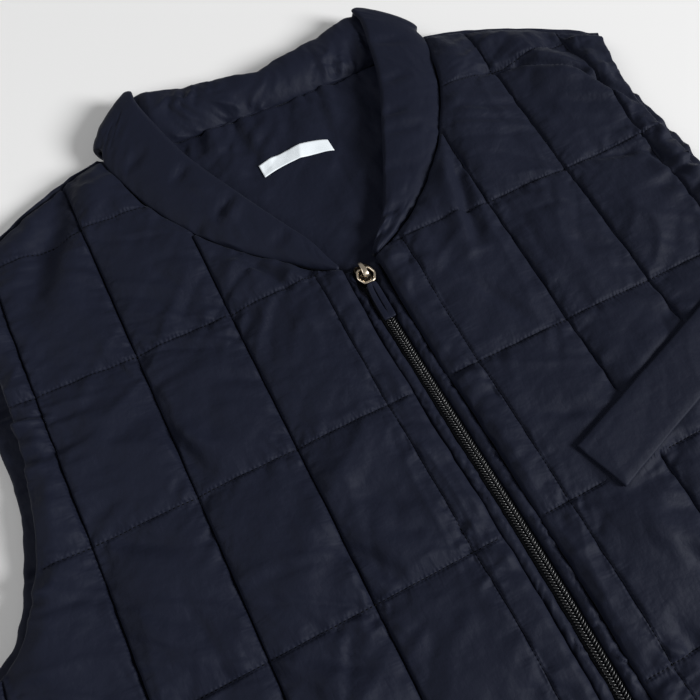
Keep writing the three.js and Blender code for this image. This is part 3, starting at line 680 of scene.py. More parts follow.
quilted_shell = nylon("quilted_nylon", SHELL_DARK, SHELL_LIGHT, 0.63, quilted=True)
shell = nylon("shell_nylon", SHELL_DARK, SHELL_LIGHT, 0.6)
smooth_shell = nylon("collar_nylon", SHELL_DARK, SHELL_LIGHT, 0.6, wrinkle=0.4)
tab_cloth = nylon("tab_nylon", SHELL_DARK, SHELL_LIGHT, 0.48, weave_pitch=0.4)


def plain(name, dark, light, roughness, metallic=0.0, grain=400, bump=0.1, specular=0.5):
    """A hard or fine finish with a little variation"""
    made = Nodes(name)
    made.finish({"Base Color": made.tones(made.grain(grain, 2), dark, light)})
    uneven = made.grain(grain * 0.6, 2)
    made.finish({"Roughness": made.between(uneven, roughness - 0.05, roughness + 0.05)})
    made.finish({"Metallic": metallic, "Specular IOR Level": specular})
    made.finish({"Normal": made.bump(made.grain(grain * 2, 2), bump, 0.1)})
    return made.material


# The thread's near-black colour is painted shade of the stitch pits
thread = plain("thread", *THREAD_PAINTED_SHADE_TONES, 0.85, grain=900, bump=0.4, specular=0.1)
teeth_black = plain("tooth_plastic", *TOOTH_TONES, 0.3, grain=700, specular=0.7)
tape_cloth = nylon("tape_cloth", *TAPE_TONES, 0.7, weave_pitch=0.6)
gold = plain("pale_gold", *GOLD_TONES, 0.3, metallic=1.0, grain=350)
# The slider body's gold is darkened into painted shade and painted dark reflection
gold_painted_shade = plain("gold_painted_shade", *GOLD_PAINTED_SHADE_TONES, 0.3, metallic=1.0, grain=350)


def label_weave():
    """Pale satin ribbon"""
    made = Nodes("label_satin")
    made.finish({"Base Color": made.tones(made.grain(300, 2), *LABEL_TONES)})
    made.finish({"Roughness": made.between(made.grain(500, 2), 0.42, 0.52), "Sheen Weight": 0.1})
    made.finish({"Normal": made.bump(made.weave(0.35), 0.25, 0.1)})
    return made.material


label_satin = label_weave()


def coordinates(piece):
    """A piece's points as one flat row of numbers, in metres"""
    co = np.empty(len(piece.data.vertices) * 3)
    piece.data.vertices.foreach_get("co", co)
    return co


def drift(piece):
    """Moves a piece's points sideways, the way the zip's line drifts"""
    co = coordinates(piece)
    x, y = co[::3] / MM, co[1::3] / MM
    along = smooth((y - DRIFT["start_y"]) / DRIFT["over"])
    along *= 1 - smooth((y - DRIFT["neck_y"]) / DRIFT["neck_fade"])
    across = 1 - smooth((np.abs(x) - PLACKET_X) / DRIFT["side_fade"])
    co[::3] += DRIFT["far"] * along * across * MM
    piece.data.vertices.foreach_set("co", co)
    piece.data.update()


def dress(piece, material, body="vest", replaces=()):
    """Gives a finished piece its drift, finish and body"""
    drift(piece)
    piece.data.materials.clear()
    piece.data.materials.append(material)
    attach(piece, body)
    if replaces:
        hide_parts(*replaces)
    return piece


# Fronts
SOFT_RIM = [
    (0, 1), (0.4, 0.95), (0.75, 0.82), (0.95, 0.64), (1, 0.45), (0.9, 0.24), (0.6, 0.08), (0.2, 0),
]
FRONT_RIM = 1.9
GRID_PARTS_X, GRID_PARTS_Y = 38, 58
CROWD_X, CROWD_Y = 0.58, 0.4
FAR_X, TOP_Y = 272, 320
FRONT_UNDER_STEP, BACK_UNDER_STEP, WELT_UNDER_STEP = 9, 20, 6


def mirrored(piece):
    """Moves a piece's points to the other side and keeps its faces turned out"""
    co = coordinates(piece)
    co[::3] *= -1
    piece.data.vertices.foreach_set("co", co)
    piece.data.flip_normals()
    return piece


def front(name, sign):
    """A quilted front, made on the wearer's left and mirrored for the right"""
    xs = grid_lines(COLUMN, GRID_PARTS_X, FIRST_LINE_X, PLACKET_X, FAR_X, CROWD_X)
    ys = grid_lines(ROW, GRID_PARTS_Y, TOP_ROW_Y - 9 * ROW, HEM_Y, TOP_Y, CROWD_Y)

    def high(x, y):
        return front_high(x, y, sign)

    faces = high, front_low
    made = panel(name + "_cloth", FRONT_RING, xs, ys, *faces, FRONT_RIM, SOFT_RIM, FRONT_UNDER_STEP)
    made = made if sign > 0 else mirrored(made)
    dress(made, quilted_shell, replaces=[name])


# Back
BACK_RIM = [
    (0, 1), (0.25, 1), (0.55, 0.97), (0.8, 0.87), (0.95, 0.7),
    (1, 0.48), (0.97, 0.26), (0.86, 0.09), (0.7, 0),
]
# The back's grid lines: from, to and step. They are closer where the back shows.
BACK_COLUMNS = [(-273, -194, 1.7), (-194, -112, 5), (-112, 112, 1.7), (112, 194, 5), (194, 275, 1.7)]
BACK_ROWS = [(-352, 60, 5), (60, 322, 1.7)]
NECK_OPENING = dict(y=150, y_fade=40, x=112, x_fade=14)
ARM_NOTCH = dict(deep=3.2, level_reach=5, arm_reach=24)
DEEPEST_LINING, DEEPEST_ARM = -1.5, -2.6
LINING_FOLDS = [
    (-28, 305, -24, 274, 7, -1.6),
    (-12, 300, -22, 290, 6, 1.2),
    (-44, 306, -36, 268, 9, 1.3),
    (6, 306, 2, 286, 7, -0.9),
    (34, 308, 30, 280, 9, 1.1),
    (52, 306, 60, 268, 10, -1.2),
    (-60, 296, -20, 226, 14, 1.2),
    (40, 250, -4, 214, 16, 1.3),
    (22, 284, 46, 240, 12, -1.0),
]


def back_low(x, y):
    """The back lies flat on its outer face"""
    return np.zeros(np.shape(x))


def back_high(x, y):
    """The back's inner face: plain lining with soft folds where the neck is open"""
    open_neck = smooth((y - NECK_OPENING["y"]) / NECK_OPENING["y_fade"])
    open_neck *= smooth((NECK_OPENING["x"] - np.abs(x)) / NECK_OPENING["x_fade"])
    away, along = nearest(np.abs(x), y, back_neck)
    gathers = puckers(along * np.sign(x), away, 8, 2.8, 17, 5, 0.8)
    folds = FOLD_STRENGTH * folds_at(x, y, LINING_FOLDS) + 0.5 * creases(x, y, 31) + gathers
    arm_away, arm_along = nearest(np.abs(x), y, back_armhole)
    arm = puckers(arm_along, arm_away + 2, 11, 2.4, 12, 33 + 4 * (x > 0))
    arm *= smooth((np.abs(x) - 150) / 30)
    row_away, _ = line_away((TOP_ROW_Y - y) / ROW, ROW)
    by_line = smooth(1 - row_away / ARM_NOTCH["level_reach"])
    arm -= ARM_NOTCH["deep"] * by_line * smooth(1 - arm_away / ARM_NOTCH["arm_reach"])
    return BACK_TOP + np.maximum(DEEPEST_LINING, folds) * open_neck + np.maximum(DEEPEST_ARM, arm)


def back():
    """The back, from shoulder to hem"""
    xs, ys = (np.concatenate([np.arange(*row) for row in rows]) for rows in (BACK_COLUMNS, BACK_ROWS))
    faces, rim = (back_high, back_low), (ROLL_WIDTH, BACK_RIM)
    made = panel("back_cloth", BACK_RING, xs, ys, *faces, *rim, BACK_UNDER_STEP, rolled=True)
    dress(made, shell, replaces=["back"])


# Collar
COLLAR_FRONT = [
    (0.006, 10.4, 191.5, 12.6),
    (0.17, 24.5, 215.5, 14.8),
    (0.43, 44.5, 255, 16.3),
    (0.68, 61, 291, 17.3),
    (0.86, 69, 320, 17.8),
    (0.985, 72.8, 338.5, 18),
]
COLLAR_FOLD = dict(
    seam=(102.2, 319.2, 7.6), seam_round=4.6, edge=(72.5, 348.4, 12.2), edge_round=4.0, edge_closing=0.65,
)
COLLAR_TURNS = (0, 36, 72, 108, 144, 180)
COLLAR_BACK = [
    (80, 313.9, 67, 348.2, 12.2, 1.2),
    (50, 311.5, 46, 342, 12, 2.4),
    (22, 311.2, 20, 336, 14, 2.6),
    (0, 311, 0, 331.5, 14.6, 2),
]
# Creases of the collar's outer face: from x, y to x, y, then width and height
COLLAR_CREASES = [
    (-49, 254.5, -61, 245, 4.5, -1.7),
    (-46, 250, -58, 241, 5, 1.1),
    (-63, 284, -73, 277, 4.5, -1.5),
    (-69.5, 247.5, -79, 241.5, 4, -1.5),
    (-58, 262, -66, 270, 6, 0.9),
    (-82, 304, -92, 298, 6, -1.1),
    (-30, 222, -42, 216, 5, -1.1),
    (50, 268, 63, 265.5, 4, -1.5),
    (43, 257, 64, 251.5, 4, -1.2),
    (56, 262, 74, 255, 6, 0.9),
    (63, 289, 76, 287, 5, -1.1),
    (72, 318, 88, 312, 6, -1.1),
    (20, 208, 32, 208.5, 3.5, -1.7),
    (20, 198, 27, 206, 4, -1.6),
    (10.5, 195, 20, 200, 4, -1.5),
    (15, 204, 24, 203, 4, 1.3),
    (34, 234, 50, 229, 5, -1.2),
]
COLLAR_SEAM_FRONT, COLLAR_SEAM_BACK = 11.4, 5.0
COLLAR_WALL, COLLAR_PADDING = 1.2, 3.1
COLLAR_HIGH = 40
COLLAR_SECTIONS, COLLAR_STEPS = 230, 46
COLLAR_CREASE_STRENGTH = 1.7
# The collar's back seam runs this far under the lining's rounded edge
SEAM_TUCK = 1.1


def through(rows, t):
    """Points on the smooth curve through rows, for t counted in rows. It doesn't overshoot."""
    rows = np.asarray(rows, float)
    ends = np.vstack([2 * rows[0] - rows[1], rows, 2 * rows[-1] - rows[-2]])
    i = np.clip(np.floor(t).astype(int), 0, len(rows) - 2)
    a, b, c, d = ends[i], ends[i + 1], ends[i + 2], ends[i + 3]
    first, second, third = (
        np.sqrt(np.linalg.norm(q - p, axis=1, keepdims=True)) + 1e-6 for p, q in ((a, b), (b, c), (c, d))
    )
    m = ((b - a) / first - (c - a) / (first + second) + (c - b) / second) * second
    n = ((c - b) / second - (d - b) / (second + third) + (d - c) / third) * second
    return spline(b, c, m, n, (t - i)[:, None])


def collar_rows():
    """Seam, edge, turn and bulge of the collar's sections, from the zip to the middle of the back"""
    line = moved(neck_seam, -SEAM_GAP - 0.4)
    total = lengths_along(line)[-1]
    rows = []
    for share, x, y, z in COLLAR_FRONT:
        seam = at_lengths(line, share * total)
        rows.append([*seam, COLLAR_SEAM_FRONT, x, y, z, 0, 0])
    seam, edge = np.array(COLLAR_FOLD["seam"], float), np.array(COLLAR_FOLD["edge"], float)
    out = np.array([edge[1] - seam[1], seam[0] - edge[0], 0])
    out /= np.linalg.norm(out)
    for degrees in COLLAR_TURNS:
        turn = math.radians(degrees)
        way = out * math.sin(turn) + np.array([0, 0, math.cos(turn)])
        edge_round = COLLAR_FOLD["edge_round"] * (1 - COLLAR_FOLD["edge_closing"] * turn / math.pi)
        s, e = seam + COLLAR_FOLD["seam_round"] * way, edge + edge_round * way
        rows.append([*s, *e, turn, 0])
    for seam_x, seam_y, x, y, z, bulge in COLLAR_BACK:
        rows.append([seam_x, seam_y - SEAM_TUCK, COLLAR_SEAM_BACK, x, y, z, math.pi, -bulge])
    return np.array(rows, float)


def collar_detail(s, v, outer):
    """Gathers and creases of the collar, for the distance along it from the middle of the back"""
    seam_side, edge_side = v * COLLAR_HIGH, (1 - v) * COLLAR_HIGH
    behind = smooth((92 - np.abs(s)) / 30)
    if outer:
        raised = puckers(s, seam_side, 8, 0.9, 7, 51, 0.6) + puckers(s, edge_side, 12, 0.4, 7, 52)
        within = smooth(v * 4) * smooth((1 - v) * 5)
        soft = 0.5 * crease_layer(s, seam_side, 68, 26, 8, 53)
        soft += 0.4 * crease_layer(s, seam_side, 95, 20, 6, 57)
        by_zip = smooth((np.abs(s) - 188) / 12)
        return raised * (1 + 1.2 * by_zip) + soft * within
    gathers = puckers(s, seam_side, 8, 3.8, 20, 54, 0.8) + puckers(s, edge_side, 14, 1.5, 12, 55, 0.6)
    return gathers * (0.25 + 0.75 * behind) + 2.2 * crease_layer(s, seam_side, 80, 24, 8, 56) * behind


def collar():
    """The stand collar, one padded band that folds over at both shoulders"""
    rows = collar_rows()
    to_other_side = np.array([-1, 1, 1, -1, 1, 1, 1, 1])
    extended = np.vstack([rows, rows[-2] * to_other_side])
    t = np.linspace(0, len(rows) - 1, COLLAR_SECTIONS)
    seam, edge = through(extended[:, :3], t), through(extended[:, 3:6], t)
    behind = smooth((70 - edge[:, 0]) / 20) * (edge[:, 1] > 325)
    ripple = 0.9 * noise(edge[:, 0] / 9, t * 0, 58) + 0.4 * noise(edge[:, 0] / 4, t * 0, 59)
    edge[:, 1] += behind * ripple
    numbered = np.column_stack([rows[:, 6:], np.arange(len(rows))])
    bend = through(numbered, t)[:, :2]
    turn, bulge = bend[:, :1], bend[:, 1:]
    span = edge - seam
    up = unit(span)
    out = unit(np.column_stack([span[:, 1], -span[:, 0], span[:, 0] * 0]))
    facing = np.cos(turn) * np.array([0, 0, 1.0]) + out * np.sin(turn)
    facing = unit(facing - up * np.sum(facing * up, axis=1, keepdims=True))
    s = lengths_along((seam + edge) / 2)
    s = s[-1] - s
    v = (1 - np.cos(np.linspace(0, np.pi, COLLAR_STEPS))) / 2
    closing = np.sqrt(np.clip(1 - (np.clip(v - 0.94, 0, 1) / 0.06) ** 2, 0, 1))
    half = (COLLAR_WALL + COLLAR_PADDING * np.sin(np.pi * v**0.8) ** 0.6) * closing

    def ring(sign):
        grid_s, grid_v = np.meshgrid(s * sign, v, indexing="ij")
        faces = []
        laid = seam[:, None] + span[:, None] * v[None, :, None]
        for way, outer in ((1, True), (-1, False)):
            detail = collar_detail(grid_s, grid_v, outer)
            raised = half[None, :] + detail * np.clip(half[None, :] / 4, 0, 1)
            if outer:
                creased = folds_at(laid[..., 0] * sign, laid[..., 1], COLLAR_CREASES)
                creased *= COLLAR_CREASE_STRENGTH
                raised += creased * np.clip(half[None, :] / 3, 0, 1) * (turn < 1)
            lift = way * raised + bulge * np.sin(np.pi * v)[None, :]
            faces.append(laid + facing[:, None] * lift[:, :, None])
        whole = np.concatenate([faces[0], faces[1][:, ::-1]], axis=1)
        whole[..., 0] *= sign
        return whole

    left, right = ring(1), ring(-1)[::-1][1:]
    made = loft("collar_cloth", np.concatenate([left, right])[::-1])
    dress(made, smooth_shell, replaces=["collar_left", "collar_right"])


def tube_faces(shape, capped=True):
    """Faces between rings of points, for the number of rings and the points in each"""
    index = np.arange(shape[0] * shape[1]).reshape(shape)
    after = np.roll(index, -1, axis=1)
    faces = np.stack([index[:-1], after[:-1], after[1:], index[1:]], axis=-1).reshape(-1, 4).tolist()
    if capped:
        faces += [index[0][::-1].tolist(), index[-1].tolist()]
    return faces


def loft(name, rings, capped=True):
    """Rings of points joined along their length"""
    rings = np.asarray(rings, float)
    return new_object(name, rings.reshape(-1, 3), tube_faces(rings.shape[:2], capped))


# Zip
STRIP = dict(inner=3.8, by_slider=5.2, wall=3.2, crown=0.8, top=186.5, step=0.9, slow_wave=0.15)
# A strip's cross wrinkles: pitch, height and reach. The small ones between them: height and pitch.
STRIP_WRINKLES, STRIP_CRINKLES = (4.4, 1.5, 7), (0.35, 2.2)
STRIP_PROFILE = [
    (0.04, 0.0), (0.5, 0.0), (0.96, 0.0), (1, 0.2), (1, 0.55), (0.96, 0.8), (0.85, 0.95), (0.7, 1.0),
    (0.55, 1.02), (0.4, 1.0), (0.25, 0.95), (0.12, 0.82), (0.03, 0.6), (0, 0.35), (0, 0.15),
]
CHAIN = dict(half=3.5, wall=1.1, top=175.2)
COIL = dict(pitch=1.5, x=1.4, half=1.2, lean=0.5, z=2.5, rise=1.0, wire=0.33, turn_steps=14, sides=6)
SLIDER = dict(y=181.5, wide=9.6, long=11.5, high=5.2)
# How far along the slider and how wide it is there, as shares of its size
SLIDER_OUTLINE = [
    (-0.5, 0.62), (-0.42, 0.7), (-0.2, 0.78), (0.1, 0.9), (0.3, 1), (0.42, 0.92), (0.49, 0.6), (0.5, 0.4),
]
SLIDER_SIDE = [
    (0, 0), (0.9, 0), (1, 0.12), (1, 0.75), (0.93, 0.92), (0.84, 1.0), (0.7, 1.0), (0.6, 0.86), (0, 0.84),
]
# The bridge: place along the slider, height over it, width and thickness
BRIDGE = [
    (-5.2, -0.6, 1.5, 1.2), (-4.8, 1.2, 1.8, 1.3), (-3.4, 2.9, 2.2, 1.3), (-0.9, 3.9, 2.7, 1.3),
    (2.0, 4.0, 3.2, 1.3), (4.4, 3.2, 3.5, 1.3), (5.1, 1.2, 3.0, 1.2), (5.2, -0.6, 2.2, 1.0),
]
PULL = dict(pin_y=183.2, wide=11.4, long=9, z=14.0, wire=0.72, top_slope=1.6, foot_slope=2.2, corner=1.1)
TAB = dict(wide=7.2, long=22, wall=2.2, top_y=173.9, low=11.5)
# The tab: share of its length, of its width, its rise, share of its thickness, and how open its slit is
TAB_SECTIONS = [
    (0, 0.37, 1.7, 1.0, 0.1), (0.05, 0.41, 1.4, 1.05, 0.2), (0.15, 0.46, 0.9, 1.05, 0.6),
    (0.3, 0.49, 0.4, 1, 1), (0.5, 0.5, 0.1, 0.95, 1), (0.72, 0.5, 0, 0.9, 0.9),
    (0.82, 0.5, 0, 0.88, 0.2), (0.97, 0.49, 0, 0.82, 0.05), (1.0, 0.47, 0.1, 0.6, 0),
]
SLIT_DEPTH = 0.62


def strip(name, sign):
    """A folded strip of cloth beside the zip, with small cross wrinkles"""
    y = np.arange(STRIP["top"], HEM_Y + 2, -STRIP["step"])
    foot = SLIDER["y"] - SLIDER["long"] / 2 - SEAM_GAP
    inner = STRIP["inner"] + (STRIP["by_slider"] - STRIP["inner"]) * smooth((y - foot + 4) / 4)
    outer = PLACKET_X - SEAM_GAP
    seed = 71 if sign > 0 else 77
    rings = []
    for out, up in STRIP_PROFILE:
        x = inner + (outer - inner) * out - 0.35 * (1 - out) * (up > 0.1) * noise(y / 9, y * 0, seed + 8)
        away = np.full(y.shape, min(out, 1 - out) * 7 + 1.2)
        wrinkle = puckers(y, away, *STRIP_WRINKLES, seed + 4 * (out > 0.5), 2.5) * (up > 0.3)
        crinkle = noise((y + 6 * out) / STRIP_CRINKLES[1], out * 1.5 + y * 0, seed + 6)
        wrinkle += STRIP_CRINKLES[0] * crinkle * (up > 0.5)
        slow = STRIP["slow_wave"] * noise(y / 19, out * 2 + y * 0, seed + 2) * (up > 0.3)
        z = FRONT_LOW + up * (STRIP["wall"] + STRIP["crown"] * math.sin(math.pi * out)) + wrinkle + slow
        rings.append(np.column_stack([x * sign, y, np.maximum(z, FRONT_LOW)]))
    rings = np.stack(rings, axis=1)
    made = loft(name + "_cloth", rings if sign > 0 else rings[:, ::-1])
    dress(made, shell, replaces=[name])


def tape():
    """The zip's woven tape"""
    y = np.arange(CHAIN["top"], HEM_Y + 3, -4.0)
    half, wall = CHAIN["half"], CHAIN["wall"]
    side_on = [(-half, 0), (half, 0), (half, wall * 0.8)]
    side_on += [(half * 0.9, wall), (-half * 0.9, wall), (-half, wall * 0.8)]
    rings = np.stack([np.column_stack([y * 0 + x, y, y * 0 + FRONT_LOW + z]) for x, z in side_on], axis=1)
    dress(loft("zip_tape", rings), tape_cloth)


def coil():
    """The zip's two coils, flattened spirals of black wire that mesh along the middle"""
    length = CHAIN["top"] - 1 - (HEM_Y + 5)
    turns = length / COIL["pitch"]
    t = np.arange(0, turns, 1 / COIL["turn_steps"])
    points, faces = [], []
    for sign in (1, -1):
        angle = 2 * np.pi * t
        wave = np.cos(angle)
        across = COIL["half"] * np.sign(wave) * np.abs(wave) ** 0.8
        lean = COIL["lean"] * across
        y = CHAIN["top"] - 1 - (t + (0.5 if sign < 0 else 0)) * COIL["pitch"] + lean
        z = FRONT_LOW + COIL["z"] + COIL["rise"] * np.sin(angle)
        path = np.column_stack([sign * (COIL["x"] + across), y, z])
        rings = tube(path, COIL["wire"], COIL["sides"])
        start = sum(len(p) for p in points)
        points.append(rings.reshape(-1, 3))
        faces += [[i + start for i in face] for face in tube_faces(rings.shape[:2])]
    made = new_object("zip_teeth", np.vstack(points), faces)
    dress(made, teeth_black, replaces=["zip_chain"])


def slider():
    """The slider: a rounded plate with side flanges and a raised bridge"""
    side_on = SLIDER_SIDE + [(-x, z) for x, z in SLIDER_SIDE[-2:0:-1]]
    rings = []
    for along, wide in SLIDER_OUTLINE:
        half = SLIDER["wide"] / 2 * wide
        high = SLIDER["high"] * (1 - 0.2 * abs(2 * along) ** 3)
        y = SLIDER["y"] + along * SLIDER["long"]
        rings.append([(half * x, y, FRONT_LOW + high * z) for x, z in side_on])
    made = loft("slider_body", np.array(rings)[::-1])
    soften(made, 1)
    # The body's dark gold is painted shade and painted dark reflection
    dress(made, gold_painted_shade, replaces=["zip_slider"])

    top = FRONT_LOW + SLIDER["high"]
    turn = whole_turn(12)
    rings = []
    for along, up, wide, thick in BRIDGE:
        x = wide / 2 * np.sign(np.cos(turn)) * np.abs(np.cos(turn)) ** 0.6
        z = thick / 2 * np.sign(np.sin(turn)) * np.abs(np.sin(turn)) ** 0.6
        rings.append(np.column_stack([x, x * 0 + PULL["pin_y"] - along, top + up - thick / 2 + z]))
    crown = loft("slider_bridge", rings)
    soften(crown, 1)
    dress(crown, gold)


def soften(piece, levels):
    """Subdivides a mesh smoothly and keeps the result"""
    modifier = piece.modifiers.new("soften", "SUBSURF")
    modifier.levels = levels
    bpy.context.view_layer.objects.active = piece
    with bpy.context.temp_override(object=piece, active_object=piece, selected_objects=[piece]):
        bpy.ops.object.modifier_apply(modifier=modifier.name)
    piece.data.shade_smooth()


def whole_turn(sides):
    """Even angles of a whole turn"""
    return np.linspace(0, 2 * np.pi, sides, endpoint=False)


def circles(across, up, sides):
    """Circles of radius 1, each in the plane of one row of across and one of up"""
    turn = whole_turn(sides)[None, :, None]
    return np.cos(turn) * across[:, None] + np.sin(turn) * up[:, None]


def tube(path, radius, sides):
    """Rings of points round a path. Its own bends give each ring a steady direction along +Y."""
    along = unit(np.gradient(path, axis=0))
    across = unit(np.cross(along, (0, 1.0, 0)))
    return path[:, None] + radius * circles(across, np.cross(across, along), sides)


def pull_ring():
    """The angular wire loop of the pull. Its top bar is the pin under the bridge."""
    half, long, wire = PULL["wide"] / 2 - PULL["wire"], PULL["long"] - PULL["wire"], PULL["wire"]
    top, foot = half - PULL["top_slope"], half - PULL["foot_slope"]
    waist = -long * 0.5
    corners = [(-top, 0), (top, 0), (half, waist), (foot, -long), (-foot, -long), (-half, waist)]
    path = rounded_ring(np.array(corners, float), PULL["corner"], 6)
    outward = right_of(closed(path))[:-1]
    turn = whole_turn(10)[None, :, None]
    flat = path[:, None] + wire * np.cos(turn) * outward[:, None]
    high = np.broadcast_to(PULL["z"] + wire * np.sin(turn), flat.shape[:2] + (1,))
    rings = np.concatenate([flat + (0, PULL["pin_y"]), high], axis=2)
    made = loft("pull_ring", closed(rings), capped=False)
    dress(made, gold, body="pull", replaces=["zip_pull"])


def rounded_ring(corners, cut, parts):
    """A closed outline with each corner rounded off, cut millimetres from it"""
    points = []
    for before, corner, after in zip(np.roll(corners, 1, axis=0), corners, np.roll(corners, -1, axis=0)):
        start = corner + cut * (before - corner) / np.linalg.norm(before - corner)
        end = corner + cut * (after - corner) / np.linalg.norm(after - corner)
        t = np.linspace(0, 1, parts)[:, None]
        points.append((1 - t) ** 2 * start + 2 * t * (1 - t) * corner + t**2 * end)
    return np.vstack(points)


def pull_tab():
    """A folded cloth tab looped through the wire, with its two halves closed along a slit"""
    rings = []
    for along, wide, rise, thick, slit in TAB_SECTIONS:
        half, high = TAB["wide"] * wide, TAB["wall"] * thick
        y, low = TAB["top_y"] - TAB["long"] * along, TAB["low"] + rise
        deep = 1 - SLIT_DEPTH * slit
        side_on = [(0, 0), (0.92, 0), (1, 0.3), (1, 0.7), (0.9, 0.95), (0.5, 1), (0.16, 0.97)]
        side_on += [(0.07, 0.9), (0.02, deep), (-0.06, deep), (-0.12, 0.9), (-0.22, 0.97)]
        side_on += [(-0.5, 1), (-0.9, 0.95), (-1, 0.7), (-1, 0.3), (-0.92, 0)]
        rings.append([(half * x, y, low + high * z) for x, z in side_on])
    made = loft("pull_tab_cloth", np.array(rings))
    soften(made, 2)
    dress(made, tab_cloth, body="pull", replaces=["pull_tab"])


# Welt and label
WELT_STEP, WELT_RIM = 1.2, 1.2
LABEL = dict(x=-3.4, y=268.5, long=44, high=9, bow=3, under=0.12, over=0.42, wave=0.8)


def welt_place(along, across):
    """A place on the welt, in the front's own directions"""
    turn = math.radians(WELT["angle"])
    x = WELT["x"] + along * math.cos(turn) - across * math.sin(turn)
    y = WELT["y"] + along * math.sin(turn) + across * math.cos(turn)
    return x, y


def welt():
    """The breast welt, laid over the front and raised from its surface"""
    long, half, step = WELT["long"], WELT["high"] / 2, WELT_STEP
    corners = [welt_place(*c) for c in ((0, -half), (long, -half), (long, half), (0, half))]
    ring = np.vstack([straight(a, b, 2)[:-1] for a, b in zip(corners, corners[1:] + corners[:1])])

    def low(x, y):
        return front_high(x, y, 1) + SEAM_GAP

    def high(x, y):
        away, along = nearest(x, y, closed(ring))
        crown = WELT["crown"] * np.sqrt(smooth(away / 4))
        level = low(x, y) + WELT["side"] + crown
        return level + puckers(along, away, 8, 0.3, 7, 91) + 0.2 * creases(x, y, 93)

    xs = np.arange(ring[:, 0].min(), ring[:, 0].max() + step, step)
    ys = np.arange(ring[:, 1].min(), ring[:, 1].max() + step, step)
    made = panel("breast_welt_cloth", ring, xs, ys, high, low, WELT_RIM, SOFT_RIM, WELT_UNDER_STEP)
    dress(made, smooth_shell, replaces=["breast_welt"])


def label():
    """The blank neck label, bowed a little towards the collar"""
    across = np.linspace(-0.5, 0.5, 12)
    top, under = [], []
    for share in np.linspace(0, 1, 60):
        bow = 1 - (2 * share - 1) ** 2
        x = across * 0 + LABEL["x"] + (share - 0.5) * LABEL["long"]
        y = LABEL["y"] + LABEL["bow"] * bow + across * LABEL["high"]
        wave = 0.25 + 0.18 * math.sin(share * 9 + 1) + 0.3 * bow
        level = back_high(x, y) + wave * LABEL["wave"]
        under.append(np.column_stack([x, y, level + LABEL["under"]]))
        top.append(np.column_stack([x, y, level + LABEL["over"]]))
    rings = np.concatenate([np.array(top), np.array(under)[:, ::-1]], axis=1)
    made = loft("neck_label_ribbon", rings)
    dress(made, label_satin, replaces=["neck_label"])


# Stitching
STITCH = dict(dash=1.35, radius=0.36, lift=0.04, sides=6)
UPRIGHT_LINES, LEVEL_LINES = 5, 8
THREAD_MARGIN = 2.5
# A dash: place from its middle to its ends, share of its radius and lift
STITCH_RINGS = [(-1, 0.25, -0.35), (-0.75, 0.9, -0.05), (0, 1, 0.1), (0.75, 0.9, -0.05), (1, 0.25, -0.35)]


def stitches(name, lines, height):
    """Thread dashes along lines, joined in one mesh. height gives the cloth's surface."""
    points, faces, count = [], [], 0
    sides, radius, half = STITCH["sides"], STITCH["radius"], STITCH["dash"] / 2
    size = len(STITCH_RINGS) * sides
    block = np.array(tube_faces((len(STITCH_RINGS), sides), capped=False))
    for line in lines:
        total = lengths_along(line)[-1]
        if total < 2 * STITCH_PITCH:
            continue
        middles = np.arange(STITCH_PITCH / 2, total - STITCH_PITCH / 2, STITCH_PITCH)
        ends = [at_lengths(line, middles + sign * half) for sign in (-1, 1)]
        spots = [np.column_stack([e, height(e[:, 0], e[:, 1])]) for e in ends]
        middle, way = (spots[0] + spots[1]) / 2, unit(spots[1] - spots[0])
        across = unit(np.cross(way, (0, 0, 1.0)))
        up = np.cross(across, way)
        circle = circles(across, up, sides)
        layers = []
        for share, wide, lift in STITCH_RINGS:
            spot = middle + way * share * half + up * (lift * radius * 2 + STITCH["lift"])
            layers.append(spot[:, None] + circle * wide * radius)
        points.append(np.stack(layers, axis=1).reshape(-1, 3))
        starts = count + size * np.arange(len(middles))
        faces += (starts[:, None, None] + block).reshape(-1, 4).tolist()
        count += size * len(middles)
    return new_object(name, np.vstack(points), faces)


def clipped(line, ring, margin, keep=None):
    """The stretches of a line that lie inside an outline"""
    x, y = line.T
    good = inside(x, y, ring) & (nearest(x, y, closed(ring))[0] > margin)
    if keep is not None:
        good &= keep(x, y)
    starts = np.flatnonzero(good & ~np.r_[False, good[:-1]])
    stops = np.flatnonzero(good & ~np.r_[good[1:], False])
    return [line[a : b + 1] for a, b in zip(starts, stops) if b > a + 3]


def quilting(sign):
    """The thread of the quilting lines on one front"""
    clear = (lambda x, y: under_welt(x, y) < 0.2) if sign > 0 else None
    xs = [FIRST_LINE_X + number * COLUMN for number in range(UPRIGHT_LINES)]
    ys = [TOP_ROW_Y - number * ROW for number in range(LEVEL_LINES)]
    lines = []
    for line in [((x, TOP_Y), (x, HEM_Y)) for x in xs] + [((0, y), (FAR_X + 3, y)) for y in ys]:
        lines += clipped(straight(*line, 1), FRONT_RING, THREAD_MARGIN, clear)
    name = "quilting_left" if sign > 0 else "quilting_right"
    made = stitches(name, lines, lambda x, y: front_high(x, y, sign))
    dress(made if sign > 0 else mirrored(made), thread)


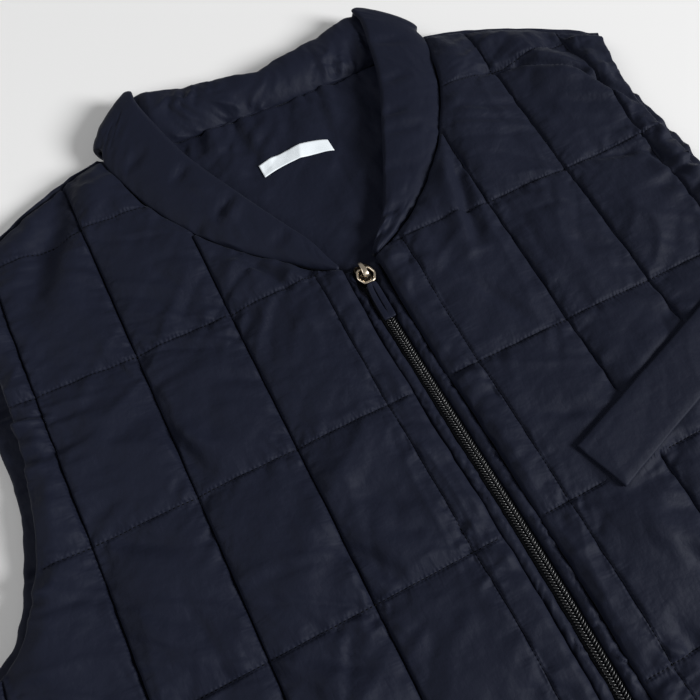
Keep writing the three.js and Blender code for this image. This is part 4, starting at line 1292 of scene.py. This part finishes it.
# Camera, light and floor
CAMERA_PLACE = (-108.7, 6.1, 376.0)
CAMERA_AXES = ((0.8909, 0.4109, -0.1936), (-0.4540, 0.8192, -0.3504), (0.0146, 0.4001, 0.9164))
LENS = 40.1
KEY_LIGHT = dict(place=(2.5, -1.9, 1.95), target=(0, 0.05, 0), size=1.4, power=210)
FILL_LIGHT = dict(place=(-1.5, 0.6, 1.7), target=(-0.1, 0, 0), size=1.4, power=15)
WORLD_LIGHT = 0.24
FLOOR_HALF_SIDE = 3.0
FLOOR_DARK, FLOOR_LIGHT = (0.71, 0.71, 0.71), (0.73, 0.73, 0.73)


def camera():
    """The camera that the photograph was fitted with"""
    data = bpy.data.cameras.new("camera")
    data.lens = LENS
    data.clip_start = 0.01
    made = bpy.data.objects.new("camera", data)
    turn = Matrix(CAMERA_AXES)
    made.matrix_world = Matrix.Translation([c * MM for c in CAMERA_PLACE]) @ turn.to_4x4()
    bpy.context.scene.collection.objects.link(made)
    bpy.context.scene.camera = made


def area_light(name, place, target, size, power):
    """A round lamp that faces a target"""
    data = bpy.data.lights.new(name, "AREA")
    data.shape = "DISK"
    data.size = size
    data.energy = power
    made = bpy.data.objects.new(name, data)
    made.location = place
    way = np.array(target, float) - np.array(place, float)
    way /= np.linalg.norm(way)
    made.rotation_euler = Vector(way).to_track_quat("-Z", "Y").to_euler()
    bpy.context.scene.collection.objects.link(made)


def studio():
    """Pale floor, even surroundings, a main lamp from the right and a weak one from the left"""
    scene = bpy.context.scene
    scene.view_settings.view_transform = "Standard"
    world = bpy.data.worlds.new("studio")
    scene.world = world
    world.use_nodes = True
    background = world.node_tree.nodes["Background"].inputs
    background["Color"].default_value = (1, 1, 1, 1)
    background["Strength"].default_value = WORLD_LIGHT
    area_light("key", **KEY_LIGHT)
    area_light("fill", **FILL_LIGHT)

    half = FLOOR_HALF_SIDE / MM
    corners = [(-half, -half, 0), (half, -half, 0), (half, half, 0), (-half, half, 0)]
    floor = new_object("floor", corners, [[0, 1, 2, 3]])
    paper = Nodes("floor_paper")
    tones = paper.tones(paper.grain(3, 2), FLOOR_DARK, FLOOR_LIGHT)
    paper.finish({"Base Color": tones, "Roughness": 0.9})
    floor.data.materials.append(paper.material)


camera()
studio()
front("front_left", 1)
front("front_right", -1)
back()
collar()
strip("zip_strip_left", 1)
strip("zip_strip_right", -1)
tape()
coil()
slider()
pull_ring()
pull_tab()
welt()
label()
quilting(1)
quilting(-1)

bpy.context.view_layer.update()
